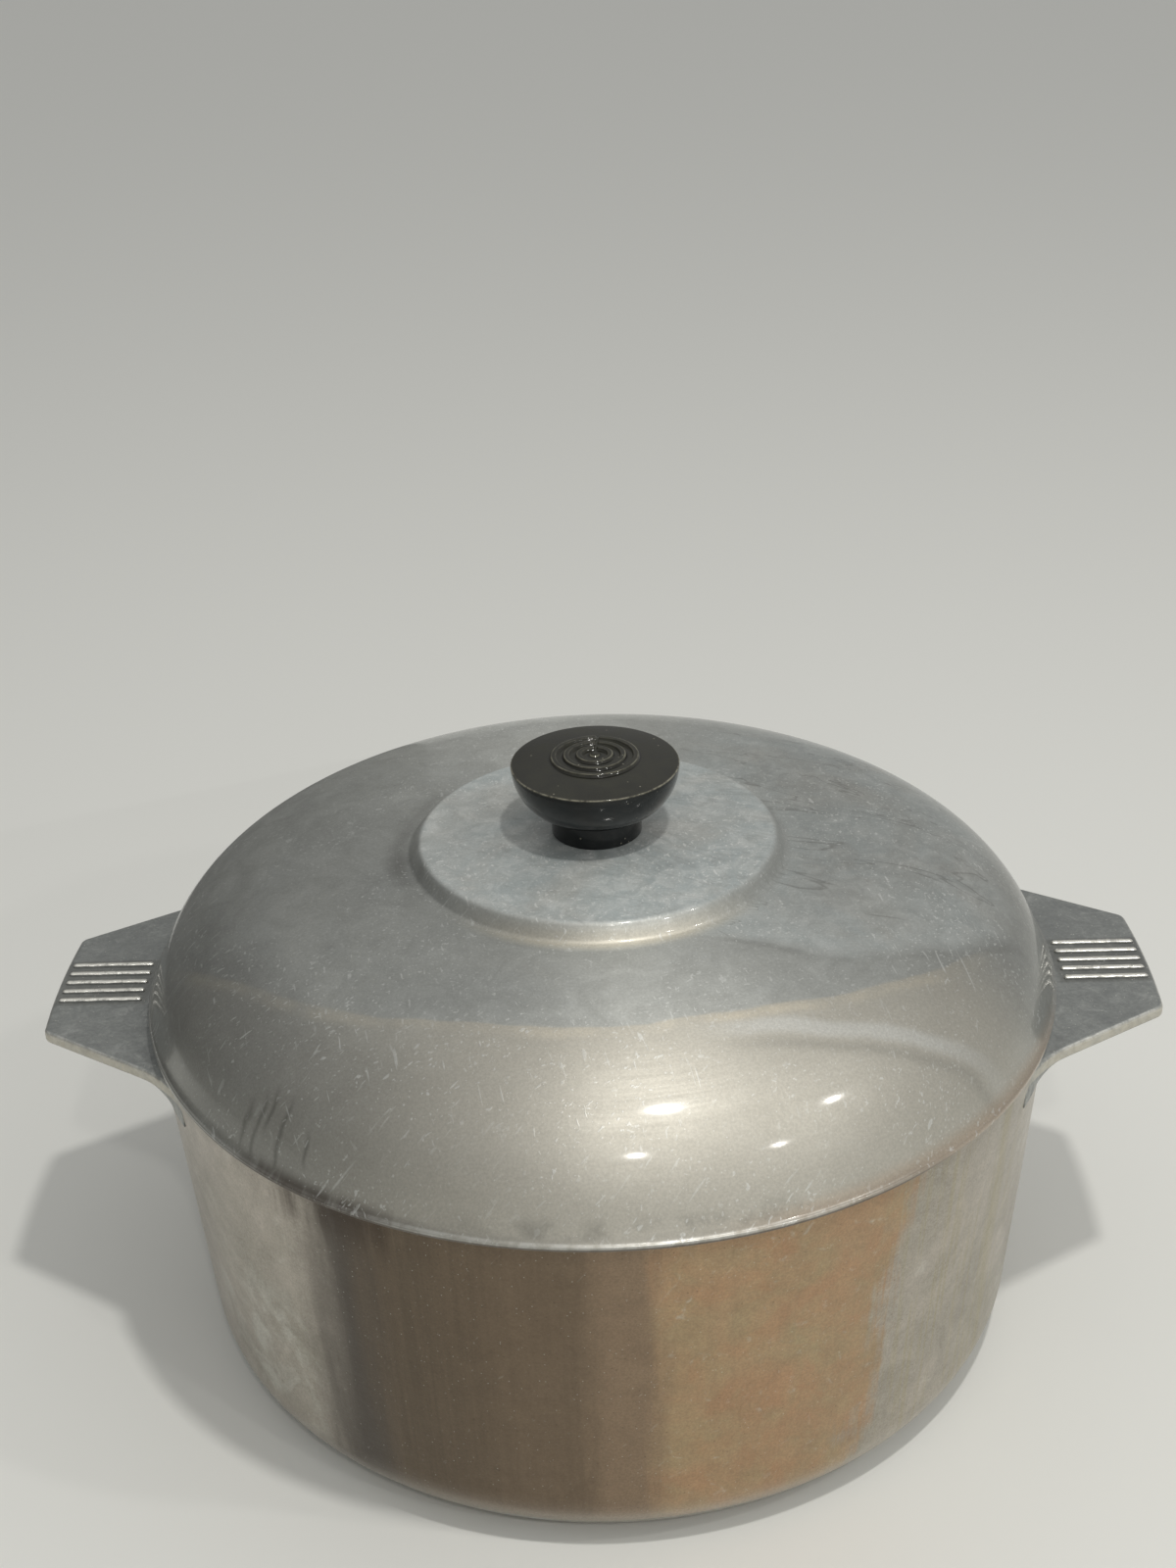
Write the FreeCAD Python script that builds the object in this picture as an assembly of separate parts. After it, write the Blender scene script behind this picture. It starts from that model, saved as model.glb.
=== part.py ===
import FreeCAD, Part
import math
import os

# A round cast-aluminium covered pot: pot with two ribbed lug handles, domed lid and moulded knob.
# Millimetres. The origin is the centre of the base, +Z is up and the handles lie along X.

# Pot casting
POT_HEIGHT = 107.0
RIM_RADIUS = 128.5
BASE_WALL_RADIUS = 120.1      # outer wall carried straight down to the base plane
BASE_CORNER_RADIUS = 17.5
WALL_THICKNESS = 4.0
FLOOR_THICKNESS = 4.5
INNER_CORNER_RADIUS = 14.0
RIM_ROUNDING = 0.7

# Lug handles, cast with the pot
HANDLE_TOP = 103.2
HANDLE_THICKNESS = 3.8
HANDLE_REACH = 159.0          # from the pot's axis to the middle of the outer edge
HANDLE_EDGE_BULGE = 0.9       # how far the outer edge bows out between its corners
HANDLE_HALF_WIDTH = 24.8      # at the outer corners, before they are rounded
HANDLE_SIDE_ANGLE = 32.0      # degrees between each side and the handle's centre line
HANDLE_CORNER_RADIUS = 3.5
HANDLE_EDGE_ROUNDING = 1.1
HANDLE_ROOT_RADIUS = 42.0     # the sides sweep into the pot's wall with this radius
HANDLE_UPPER_FILLET = 3.0
HANDLE_LOWER_FILLET = 5.0
WALL_OVERLAP = 0.3            # how far the handle starts inside the wall's surface
FLANGE_MARGIN = 2.0           # spare width of the flange that the plan is cut from
RIB_COUNT = 5
RIB_PITCH = 4.7
RIB_WIDTH = 2.0
RIB_HEIGHT = 0.9
RIB_ROUNDING = 0.54
RIB_INNER_END = 132.9
RIB_OUTER_END = 157.2

# Lid casting
LID_RADIUS = 130.0
LIP_HEIGHT = 1.7
LIP_PROUD = 0.5
LIP_ROUNDING = 0.45
LID_THICKNESS = 3.6
SHOULDER_HEIGHT = 145.3       # top of the dome, where the raised centre begins
DOME_LOWER_RADIUS = 125.0     # second control point of the dome's curve
DOME_LOWER_RISE = 5.5         # its height above the seam
DOME_UPPER_RADIUS = 127.4     # third control point, at the shoulder's height
INNER_DOME_UPPER_RADIUS = 121.0
INNER_DOME_LOWER_RISE = 11.0
STEP_FOOT_RADIUS = 53.2
PLATEAU_RADIUS = 50.3
PLATEAU_HEIGHT = 149.8
PLATEAU_CROWN = 0.8
CROWN_MIDDLE_SHARE = 0.72     # of the crown's rise, halfway between the knob's seat and the edge
STEP_ROUNDING = 1.8
STEP_EDGE_RADIUS = 1.62
INNER_STEP_RADIUS = 1.26
SEAT_RADIUS = 13.4            # flat that the knob stands on
SEAT_THICKNESS = 4.0
SKIRT_DEPTH = 6.8
SKIRT_RADIUS = 123.2
SKIRT_THICKNESS = 3.0
SKIRT_TAPER = 0.6             # how much narrower the skirt is at its lower edge
SKIRT_ROUNDING = 0.5
SCREW_HOLE_RADIUS = 2.4

# Knob moulding
KNOB_RADIUS = 23.5
KNOB_EDGE_HEIGHT = 171.6
KNOB_CROWN = 2.0
KNOB_EDGE_ROUNDING = 0.35
CROWN_INSET = 1.0             # from the knob's edge to where its crown begins
NECK_RADIUS = 12.7
BOWL_CENTRE_RADIUS = 10.0     # the bowl is a quarter ellipse about this radius
BOWL_DEPTH = 14.8
BOWL_TOP_ANGLE = 2.0          # degrees below the rim where the bowl meets the rim's rounding
BOWL_STEPS = 8
RING_RADII = (11.55, 7.95, 4.4)
RING_WIDTH = 1.6
RING_HEIGHT = 0.8
RING_ROUNDING = 0.5
PIP_RADIUS = 1.35
PIP_HEIGHT = 0.9
PIP_ROOT = 0.3
RELIEF_ROOT = 0.5             # how far a raised rib or ring reaches into its body

# Fastening
INSERT_RADIUS = 3.5
INSERT_LENGTH = 12.0
SCREW_RADIUS = 2.0
THREAD_CLEARANCE = 0.05
SCREW_LENGTH = 14.0
SCREW_HEAD_RADIUS = 4.2
SCREW_HEAD_HEIGHT = 2.4
SCREW_HEAD_ROUNDING = 1.5
SCREW_SLOT_WIDTH = 1.0
SCREW_SLOT_DEPTH = 1.1
WASHER_RADIUS = 6.0
WASHER_HOLE_RADIUS = 2.4
WASHER_THICKNESS = 1.0

SEAM = POT_HEIGHT
SEAT_HEIGHT = PLATEAU_HEIGHT + PLATEAU_CROWN
LID_UNDERSIDE = SEAT_HEIGHT - SEAT_THICKNESS
UP = FreeCAD.Vector(0, 0, 1)
CENTRE = FreeCAD.Vector(0, 0, 0)
SAME_POINT = 1e-6
FLAT = 0.01


def section(radius, height):
    """A point of a turned profile."""
    return FreeCAD.Vector(radius, 0, height)


def add_line(edges, start, end):
    """Add a straight edge, unless its ends meet."""
    if start.distanceToPoint(end) > SAME_POINT:
        edges.append(Part.LineSegment(start, end).toShape())


def rounded_path(corners):
    """Edges through (point, radius) corners, each corner rounded by a tangent arc."""
    edges = []
    last = corners[0][0]
    for (before, _), (corner, radius), (after, _) in zip(corners, corners[1:], corners[2:]):
        if radius == 0:
            add_line(edges, last, corner)
            last = corner
            continue
        back = (before - corner).normalize()
        ahead = (after - corner).normalize()
        half_angle = back.getAngle(ahead) / 2
        reach = radius / math.tan(half_angle)
        start = corner + back * reach
        end = corner + ahead * reach
        bisector = (back + ahead).normalize()
        middle = corner + bisector * (radius / math.sin(half_angle) - radius)
        add_line(edges, last, start)
        edges.append(Part.Arc(start, middle, end).toShape())
        last = end
    add_line(edges, last, corners[-1][0])
    return edges


def dome_curve(points):
    """A cubic curve from its four control points."""
    curve = Part.BezierCurve()
    curve.setPoles(points)
    return curve.toShape()


def turned(edges):
    """Close a profile's edges into a face and turn it about the axis."""
    face = Part.Face(Part.Wire(edges))
    return face.revolve(CENTRE, UP, 360)


def close(edges):
    """Join the last edge of a profile back to its first with a straight line."""
    closing = []
    add_line(closing, edges[-1].Vertexes[-1].Point, edges[0].Vertexes[0].Point)
    return edges + closing


def ring(inner_radius, outer_radius, bottom, height):
    """A plain turned ring."""
    outer = Part.makeCylinder(outer_radius, height, section(0, bottom))
    inner = Part.makeCylinder(inner_radius, height, section(0, bottom))
    return outer.cut(inner)


def wall_radius(height):
    """Radius of the pot's tapered outer wall."""
    taper = (RIM_RADIUS - BASE_WALL_RADIUS) / POT_HEIGHT
    return BASE_WALL_RADIUS + taper * height


def pot_outside():
    """The pot without its cavity."""
    corners = [
        (section(0, 0), 0),
        (section(BASE_WALL_RADIUS, 0), BASE_CORNER_RADIUS),
        (section(RIM_RADIUS, POT_HEIGHT), RIM_ROUNDING),
        (section(0, POT_HEIGHT), 0),
    ]
    return turned(close(rounded_path(corners)))


def pot_cavity():
    """The space that the pot's wall encloses, open at the rim."""
    inner_base = wall_radius(FLOOR_THICKNESS) - WALL_THICKNESS
    inner_rim = RIM_RADIUS - WALL_THICKNESS
    corners = [
        (section(0, FLOOR_THICKNESS), 0),
        (section(inner_base, FLOOR_THICKNESS), INNER_CORNER_RADIUS),
        (section(inner_rim, POT_HEIGHT), 0),
        (section(0, POT_HEIGHT), 0),
    ]
    return turned(close(rounded_path(corners)))


def handle_outline():
    """Plan of the handle on +X: bowed outer edge, straight sides and swept roots."""
    angle = math.radians(HANDLE_SIDE_ANGLE)
    corner = FreeCAD.Vector(HANDLE_REACH - HANDLE_EDGE_BULGE, HANDLE_HALF_WIDTH, 0)
    along = FreeCAD.Vector(-math.cos(angle), math.sin(angle), 0)
    outward = FreeCAD.Vector(math.sin(angle), math.cos(angle), 0)
    # The root arc touches the side and the wall's circle, so its centre is one root radius
    # from the side and stands off the pot's axis by both radii.
    wall = wall_radius(HANDLE_TOP - HANDLE_THICKNESS / 2) - WALL_OVERLAP
    offset = corner + outward * HANDLE_ROOT_RADIUS
    half_b = offset.dot(along)
    excess = offset.dot(offset) - (wall + HANDLE_ROOT_RADIUS) ** 2
    travel = -half_b - math.sqrt(half_b ** 2 - excess)
    root_centre = offset + along * travel
    side_end = corner + along * travel
    wall_point = root_centre * (wall / root_centre.Length)
    toward = ((side_end + wall_point) * 0.5 - root_centre).normalize()
    root_middle = root_centre + toward * HANDLE_ROOT_RADIUS

    # The corner between the outer edge, taken as straight there, and the side.
    turn = math.pi / 2 + angle
    reach = HANDLE_CORNER_RADIUS / math.tan(turn / 2)
    down = FreeCAD.Vector(0, -1, 0)
    edge_end = corner + down * reach
    side_start = corner + along * reach
    bisector = (down + along).normalize()
    stand_off = HANDLE_CORNER_RADIUS / math.sin(turn / 2) - HANDLE_CORNER_RADIUS
    corner_middle = corner + bisector * stand_off

    def mirrored(point):
        return FreeCAD.Vector(point.x, -point.y, point.z)

    edges = [
        Part.Arc(mirrored(edge_end), FreeCAD.Vector(HANDLE_REACH, 0, 0), edge_end),
        Part.Arc(edge_end, corner_middle, side_start),
        Part.LineSegment(side_start, side_end),
        Part.Arc(side_end, root_middle, wall_point),
        Part.LineSegment(wall_point, mirrored(wall_point)),
        Part.Arc(mirrored(wall_point), mirrored(root_middle), mirrored(side_end)),
        Part.LineSegment(mirrored(side_end), mirrored(side_start)),
        Part.Arc(mirrored(side_start), mirrored(corner_middle), mirrored(edge_end)),
    ]
    return Part.Wire([edge.toShape() for edge in edges])


def outline_edges(lug, height, fillet_end):
    """The handle's edges at one height that lie on its plan, not on its fillet to the wall."""
    chosen = []
    for edge in lug.Edges:
        box = edge.BoundBox
        level = abs(box.ZMin - height) < FLAT and abs(box.ZMax - height) < FLAT
        middle = edge.valueAt((edge.FirstParameter + edge.LastParameter) / 2)
        if level and math.hypot(middle.x, middle.y) > fillet_end + FLAT:
            chosen.append(edge)
    return chosen


def handle():
    """The handle on +X: its plan cut from a flange that is filleted into the wall."""
    bottom = HANDLE_TOP - HANDLE_THICKNESS
    wall = wall_radius(HANDLE_TOP) - WALL_OVERLAP
    inner = wall - FLANGE_MARGIN
    outer = HANDLE_REACH + FLANGE_MARGIN
    corners = [
        (section(inner, HANDLE_TOP + HANDLE_UPPER_FILLET), 0),
        (section(wall, HANDLE_TOP + HANDLE_UPPER_FILLET), 0),
        (section(wall, HANDLE_TOP), HANDLE_UPPER_FILLET),
        (section(outer, HANDLE_TOP), 0),
        (section(outer, bottom), 0),
        (section(wall, bottom), HANDLE_LOWER_FILLET),
        (section(wall, bottom - HANDLE_LOWER_FILLET), 0),
        (section(inner, bottom - HANDLE_LOWER_FILLET), 0),
    ]
    flange = turned(close(rounded_path(corners)))
    plan = Part.Face(handle_outline())
    plan.translate(FreeCAD.Vector(0, 0, bottom - HANDLE_LOWER_FILLET))
    block = plan.extrude(UP * (HANDLE_THICKNESS + HANDLE_LOWER_FILLET + HANDLE_UPPER_FILLET))
    lug = flange.common(block)
    upper_rim = outline_edges(lug, HANDLE_TOP, wall + HANDLE_UPPER_FILLET)
    lower_rim = outline_edges(lug, bottom, wall + HANDLE_LOWER_FILLET)
    lug = lug.makeFillet(HANDLE_EDGE_ROUNDING, upper_rim + lower_rim)
    for number in range(RIB_COUNT):
        lug = lug.fuse(rib((number - (RIB_COUNT - 1) / 2) * RIB_PITCH))
    return lug


def rib(offset):
    """One raised rib on the handle, rounded on top."""
    corner = FreeCAD.Vector(RIB_INNER_END, offset - RIB_WIDTH / 2, HANDLE_TOP - RELIEF_ROOT)
    bar = Part.makeBox(RIB_OUTER_END - RIB_INNER_END, RIB_WIDTH, RIB_HEIGHT + RELIEF_ROOT, corner)
    top = HANDLE_TOP + RIB_HEIGHT
    top_edges = [edge for edge in bar.Edges if edge.BoundBox.ZMin > top - FLAT]
    return bar.makeFillet(RIB_ROUNDING, top_edges)


def pot():
    """The pot casting with a handle on each side."""
    first = handle()
    second = first.copy()
    second.rotate(CENTRE, UP, 180)
    return pot_outside().fuse([first, second]).cut(pot_cavity()).removeSplitter()


def lid():
    """The lid casting: skirt, lip, dome, raised centre and screw hole."""
    skirt_bottom = SEAM - SKIRT_DEPTH
    skirt_inner = SKIRT_RADIUS - SKIRT_THICKNESS
    dome_foot = section(LID_RADIUS - LIP_PROUD, SEAM + LIP_HEIGHT)
    dome_top = section(STEP_FOOT_RADIUS + STEP_ROUNDING, SHOULDER_HEIGHT)
    outer_dome = dome_curve([
        dome_foot,
        section(DOME_LOWER_RADIUS, SEAM + DOME_LOWER_RISE),
        section(DOME_UPPER_RADIUS, SHOULDER_HEIGHT),
        dome_top,
    ])
    edge_side = rounded_path([
        (section(skirt_inner, skirt_bottom), 0),
        (section(SKIRT_RADIUS - SKIRT_TAPER, skirt_bottom), SKIRT_ROUNDING),
        (section(SKIRT_RADIUS, SEAM), 0),
        (section(LID_RADIUS, SEAM), RIM_ROUNDING),
        (section(LID_RADIUS, SEAM + LIP_HEIGHT), LIP_ROUNDING),
        (dome_foot, 0),
    ])
    middle_height = PLATEAU_HEIGHT + PLATEAU_CROWN * CROWN_MIDDLE_SHARE
    crown_middle = section((PLATEAU_RADIUS + SEAT_RADIUS) / 2, middle_height)
    plateau_start = section(PLATEAU_RADIUS - STEP_ROUNDING, PLATEAU_HEIGHT)
    step = rounded_path([
        (dome_top, 0),
        (section(STEP_FOOT_RADIUS, SHOULDER_HEIGHT), STEP_EDGE_RADIUS),
        (section(PLATEAU_RADIUS, PLATEAU_HEIGHT), STEP_EDGE_RADIUS),
        (plateau_start, 0),
    ])
    seat_edge = section(SEAT_RADIUS, SEAT_HEIGHT)
    crown = [Part.Arc(plateau_start, crown_middle, seat_edge).toShape()]
    inner_step_foot = section(STEP_FOOT_RADIUS - LID_THICKNESS / 2, SHOULDER_HEIGHT - LID_THICKNESS)
    bore = rounded_path([
        (seat_edge, 0),
        (section(SCREW_HOLE_RADIUS, SEAT_HEIGHT), 0),
        (section(SCREW_HOLE_RADIUS, LID_UNDERSIDE), 0),
        (section(SEAT_RADIUS, LID_UNDERSIDE), 0),
        (section(PLATEAU_RADIUS - LID_THICKNESS, PLATEAU_HEIGHT - LID_THICKNESS), STEP_ROUNDING),
        (section(STEP_FOOT_RADIUS - LID_THICKNESS, SHOULDER_HEIGHT - LID_THICKNESS), INNER_STEP_RADIUS),
        (inner_step_foot, 0),
    ])
    inner_dome = dome_curve([
        inner_step_foot,
        section(INNER_DOME_UPPER_RADIUS, SHOULDER_HEIGHT - LID_THICKNESS),
        section(skirt_inner, SEAM + INNER_DOME_LOWER_RISE),
        section(skirt_inner, SEAM),
    ])
    return turned(close(edge_side + [outer_dome] + step + crown + bore + [inner_dome]))


def crown_height(radius):
    """Height of the knob's crowned top, without its rings."""
    return KNOB_EDGE_HEIGHT + KNOB_CROWN * (1 - (radius / KNOB_RADIUS) ** 2)


def knob_bowl():
    """The knob's neck, bowl and crowned top as one turned solid."""
    bowl_width = KNOB_RADIUS - BOWL_CENTRE_RADIUS
    neck_cosine = (NECK_RADIUS - BOWL_CENTRE_RADIUS) / bowl_width
    neck_top = KNOB_EDGE_HEIGHT - BOWL_DEPTH * math.sqrt(1 - neck_cosine ** 2)
    centre = section(BOWL_CENTRE_RADIUS, KNOB_EDGE_HEIGHT)

    def on_bowl(angle):
        return section(centre.x + bowl_width * math.cos(angle), centre.z - BOWL_DEPTH * math.sin(angle))

    start = math.acos(neck_cosine)
    end = math.radians(BOWL_TOP_ANGLE)
    angles = [start + (end - start) * step / BOWL_STEPS for step in range(BOWL_STEPS + 1)]
    curve = Part.BSplineCurve()
    curve.interpolate([on_bowl(angle) for angle in angles])
    bowl_edge = on_bowl(end)
    crown_start = section(KNOB_RADIUS - CROWN_INSET, crown_height(KNOB_RADIUS - CROWN_INSET))
    rounding = rounded_path([
        (bowl_edge, 0),
        (section(KNOB_RADIUS, crown_height(KNOB_RADIUS)), KNOB_EDGE_ROUNDING),
        (crown_start, 0),
    ])
    half = KNOB_RADIUS / 2
    crown_middle = section(half, crown_height(half))
    crown = Part.Arc(crown_start, crown_middle, section(0, crown_height(0))).toShape()
    base = [
        Part.LineSegment(section(0, SEAT_HEIGHT), section(NECK_RADIUS, SEAT_HEIGHT)).toShape(),
        Part.LineSegment(section(NECK_RADIUS, SEAT_HEIGHT), section(NECK_RADIUS, neck_top)).toShape(),
    ]
    return turned(close(base + [curve.toShape()] + rounding + [crown]))


def knob_ring(radius):
    """One raised ring on the knob's top."""
    inner = radius - RING_WIDTH / 2
    outer = radius + RING_WIDTH / 2
    bottom = crown_height(radius) - RELIEF_ROOT
    top = crown_height(radius) + RING_HEIGHT
    middle = section(radius, bottom)
    corners = [
        (middle, 0),
        (section(outer, bottom), 0),
        (section(outer, top), RING_ROUNDING),
        (section(inner, top), RING_ROUNDING),
        (section(inner, bottom), 0),
        (middle, 0),
    ]
    return turned(rounded_path(corners))


def knob():
    """The knob moulding with its ringed top and the pocket for its insert."""
    body = knob_bowl()
    for radius in RING_RADII:
        body = body.fuse(knob_ring(radius))
    pip_base = crown_height(0) - PIP_ROOT
    pip_rise = PIP_HEIGHT + PIP_ROOT
    ball_radius = (PIP_RADIUS ** 2 + pip_rise ** 2) / (2 * pip_rise)
    ball = Part.makeSphere(ball_radius, section(0, pip_base + pip_rise - ball_radius))
    keep = Part.makeCylinder(PIP_RADIUS, 2 * pip_rise, section(0, pip_base))
    body = body.fuse(ball.common(keep))
    pocket = Part.makeCylinder(INSERT_RADIUS, INSERT_LENGTH, section(0, SEAT_HEIGHT))
    return body.cut(pocket).removeSplitter()


def knob_insert():
    """The threaded brass insert moulded into the knob, its thread taken as a plain bore."""
    return ring(SCREW_RADIUS + THREAD_CLEARANCE, INSERT_RADIUS, SEAT_HEIGHT, INSERT_LENGTH)


def knob_washer():
    """The plain washer between the lid's underside and the screw's head."""
    return ring(WASHER_HOLE_RADIUS, WASHER_RADIUS, LID_UNDERSIDE - WASHER_THICKNESS, WASHER_THICKNESS)


def knob_screw():
    """The slotted round-head screw that comes up through the lid into the insert."""
    head_top = LID_UNDERSIDE - WASHER_THICKNESS
    head_bottom = head_top - SCREW_HEAD_HEIGHT
    head = turned(close(rounded_path([
        (section(0, head_top), 0),
        (section(SCREW_HEAD_RADIUS, head_top), 0),
        (section(SCREW_HEAD_RADIUS, head_bottom), SCREW_HEAD_ROUNDING),
        (section(0, head_bottom), 0),
    ])))
    shank = Part.makeCylinder(SCREW_RADIUS, SCREW_LENGTH, section(0, head_top))
    corner = FreeCAD.Vector(-SCREW_HEAD_RADIUS, -SCREW_SLOT_WIDTH / 2, head_bottom)
    slot = Part.makeBox(2 * SCREW_HEAD_RADIUS, SCREW_SLOT_WIDTH, SCREW_SLOT_DEPTH, corner)
    return head.fuse(shank).cut(slot).removeSplitter()


PIECES = {
    "pot": pot,
    "lid": lid,
    "knob": knob,
    "knob_insert": knob_insert,
    "knob_washer": knob_washer,
    "knob_screw": knob_screw,
}

os.makedirs("parts", exist_ok=True)
for name, make in PIECES.items():
    shape = make()
    print(name, shape.isValid(), len(shape.Solids), "solids", round(shape.Volume), "mm3")
    shape.exportStep(os.path.join("parts", name + ".step"))
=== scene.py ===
"""Looks of a cast-aluminium covered pot: worn lid, heat-stained pot, rough lug handles, moulded knob.

Everything is in the part's frame: the centre of the base is the origin, +Z is up, the handles lie
along X and the front faces -Y. Sizes are written in millimetres and turned to metres when a mesh
is made.
"""

import logging
import math
from dataclasses import dataclass, field
from enum import Enum
from typing import Iterable, Sequence

import bpy
import numpy as np
from mathutils import Matrix, Vector


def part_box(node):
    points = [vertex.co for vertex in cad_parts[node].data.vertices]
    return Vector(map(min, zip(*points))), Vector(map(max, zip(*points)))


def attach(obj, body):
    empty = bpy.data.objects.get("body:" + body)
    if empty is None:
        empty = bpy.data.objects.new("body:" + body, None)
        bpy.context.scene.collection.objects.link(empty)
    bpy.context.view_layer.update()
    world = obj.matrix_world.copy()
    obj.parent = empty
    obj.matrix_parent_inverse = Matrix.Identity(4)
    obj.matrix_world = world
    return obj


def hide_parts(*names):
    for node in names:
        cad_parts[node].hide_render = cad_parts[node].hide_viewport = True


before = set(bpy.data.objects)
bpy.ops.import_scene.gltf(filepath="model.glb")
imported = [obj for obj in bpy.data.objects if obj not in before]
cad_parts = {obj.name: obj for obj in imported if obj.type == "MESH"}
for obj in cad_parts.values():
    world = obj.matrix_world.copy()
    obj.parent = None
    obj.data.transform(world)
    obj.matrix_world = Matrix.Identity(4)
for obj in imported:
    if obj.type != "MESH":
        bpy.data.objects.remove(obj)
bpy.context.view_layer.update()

LOG = logging.getLogger("covered_pot")
MM = 0.001
Colour = tuple[float, float, float]
Marks = tuple[float, float]
Span = tuple[float, float, float]
Socket = bpy.types.NodeSocket

TO_MM = 1.0 / MM
WALL_OVERLAP = 0.3        # how far a handle starts inside the pot's wall
GRAIN_SCALE = 1500.0      # noise scale of a metal's grain
DUST_SCALE = 1300.0       # cell scale of dust on metal
PIT_SCALE = 900.0         # cell scale of pits and chips
CASTING_SKIN = (260.0, 0.5, 0.5)  # noise scale, cover and softness of a polished casting's skin
MARK_ROUGHNESS = (-0.03, 0.03)    # how much turning marks change a metal's roughness
UPRIGHT_STREAK = 0.25     # turn of the anisotropy that draws a reflection up and down a wall


class Body(Enum):
    """The bodies of the assembly that pieces ride on."""

    POT = "pot"
    LID = "lid"


class Finish(Enum):
    """The record's material slots."""

    POT_CASTING = "pot_casting"
    LID_CASTING = "lid_casting"
    PHENOLIC = "phenolic"
    BRASS = "brass"
    STEEL = "steel"


def srgb(red: int, green: int, blue: int) -> Colour:
    """Turn a display colour of 0 to 255 into linear light.

    Args:
        red: Red of the display colour.
        green: Green of the display colour.
        blue: Blue of the display colour.

    Returns:
        The three channels as linear light from 0 to 1.
    """
    share = np.array([red, green, blue]) / 255.0
    linear = np.where(share <= 0.04045, share / 12.92, ((share + 0.055) / 1.055) ** 2.4)
    return tuple(float(channel) for channel in linear)


def bottom_of(node: str) -> float:
    """Height of a CAD node's lowest point in mm, to a hundredth."""
    return round(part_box(node)[0][2] * TO_MM, 2)


def top_of(node: str) -> float:
    """Height of a CAD node's highest point in mm, to a hundredth."""
    return round(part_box(node)[1][2] * TO_MM, 2)


def width_of(node: str) -> float:
    """Width of a CAD node along X in mm, to a hundredth."""
    low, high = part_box(node)
    return round((high[0] - low[0]) * TO_MM, 2)


# ---------------------------------------------------------------------------------------------
# Profiles and surfaces
# ---------------------------------------------------------------------------------------------


def spaced(start: np.ndarray, end: np.ndarray, spacing: float) -> np.ndarray:
    """Points on a straight line, closer together near its ends so that shading stays crisp.

    The share along the line is (1 - cos(pi k / n)) / 2 for k from 0 to n.

    Args:
        start: First point.
        end: Last point.
        spacing: Wanted mean distance between points, in mm.

    Returns:
        The points, both ends included.
    """
    count = max(4, int(np.linalg.norm(end - start) / spacing) + 1)
    share = (1 - np.cos(np.pi * np.arange(count + 1) / count)) / 2
    return start + (end - start) * share[:, None]


def rounded_profile(
    corners: Sequence[tuple[float, float, float]], spacing: float = 3.0, arc_points: int = 8
) -> np.ndarray:
    """A profile through corners, each rounded by a tangent arc.

    An arc of radius R at a corner starts R / tan(half the corner's angle) before it, and its
    points are centre + R (cos, sin) turned evenly from the one tangent point to the other.

    Args:
        corners: (radius, height, rounding) of each corner in mm.
        spacing: Mean distance between points on the straights, in mm.
        arc_points: Steps on each arc.

    Returns:
        An (n, 2) array of radius and height.
    """
    pieces = []
    points = np.array([corner[:2] for corner in corners], float)
    last = points[0]
    for index in range(1, len(points) - 1):
        corner, rounding = points[index], corners[index][2]
        if rounding == 0:
            pieces.append(spaced(last, corner, spacing)[:-1])
            last = corner
            continue
        back = points[index - 1] - corner
        ahead = points[index + 1] - corner
        back, ahead = back / np.linalg.norm(back), ahead / np.linalg.norm(ahead)
        half = math.acos(float(np.clip(back @ ahead, -1, 1))) / 2
        start = corner + back * rounding / math.tan(half)
        bisector = (back + ahead) / np.linalg.norm(back + ahead)
        centre = corner + bisector * rounding / math.sin(half)
        if np.linalg.norm(start - last) > 1e-6:
            pieces.append(spaced(last, start, spacing)[:-1])
        arm = start - centre
        side = back[0] * ahead[1] - back[1] * ahead[0]
        turn = -math.copysign(math.pi - 2 * half, side) * np.arange(arc_points + 1) / arc_points
        across = np.stack([-arm[1] * np.ones_like(turn), arm[0] * np.ones_like(turn)], 1)
        arc = centre + arm * np.cos(turn)[:, None] + across * np.sin(turn)[:, None]
        pieces.append(arc[:-1])
        last = arc[-1]
    if np.linalg.norm(points[-1] - last) > 1e-6:
        pieces.append(spaced(last, points[-1], spacing))
    else:
        pieces.append(points[-1:])
    return np.concatenate(pieces)


def cubic(points: Sequence[tuple[float, float]], count: int) -> np.ndarray:
    """A cubic curve: its control points weighted by (1-t)^3, 3(1-t)^2 t, 3(1-t)t^2 and t^3.

    Args:
        points: Radius and height of the four control points in mm.
        count: How many steps to take.

    Returns:
        An (count + 1, 2) array of radius and height.
    """
    t = np.linspace(0, 1, count + 1)[:, None]
    p0, p1, p2, p3 = (np.array(point, float) for point in points)
    return (1 - t) ** 3 * p0 + 3 * (1 - t) ** 2 * t * p1 + 3 * (1 - t) * t**2 * p2 + t**3 * p3


def chained(*parts: np.ndarray) -> np.ndarray:
    """Profiles joined end to end, with points that repeat left out.

    Args:
        parts: The profiles in order.

    Returns:
        One profile.
    """
    joined = np.concatenate(parts)
    step = np.linalg.norm(np.diff(joined, axis=0), axis=1)
    return joined[np.concatenate([[True], step > 1e-4])]


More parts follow.
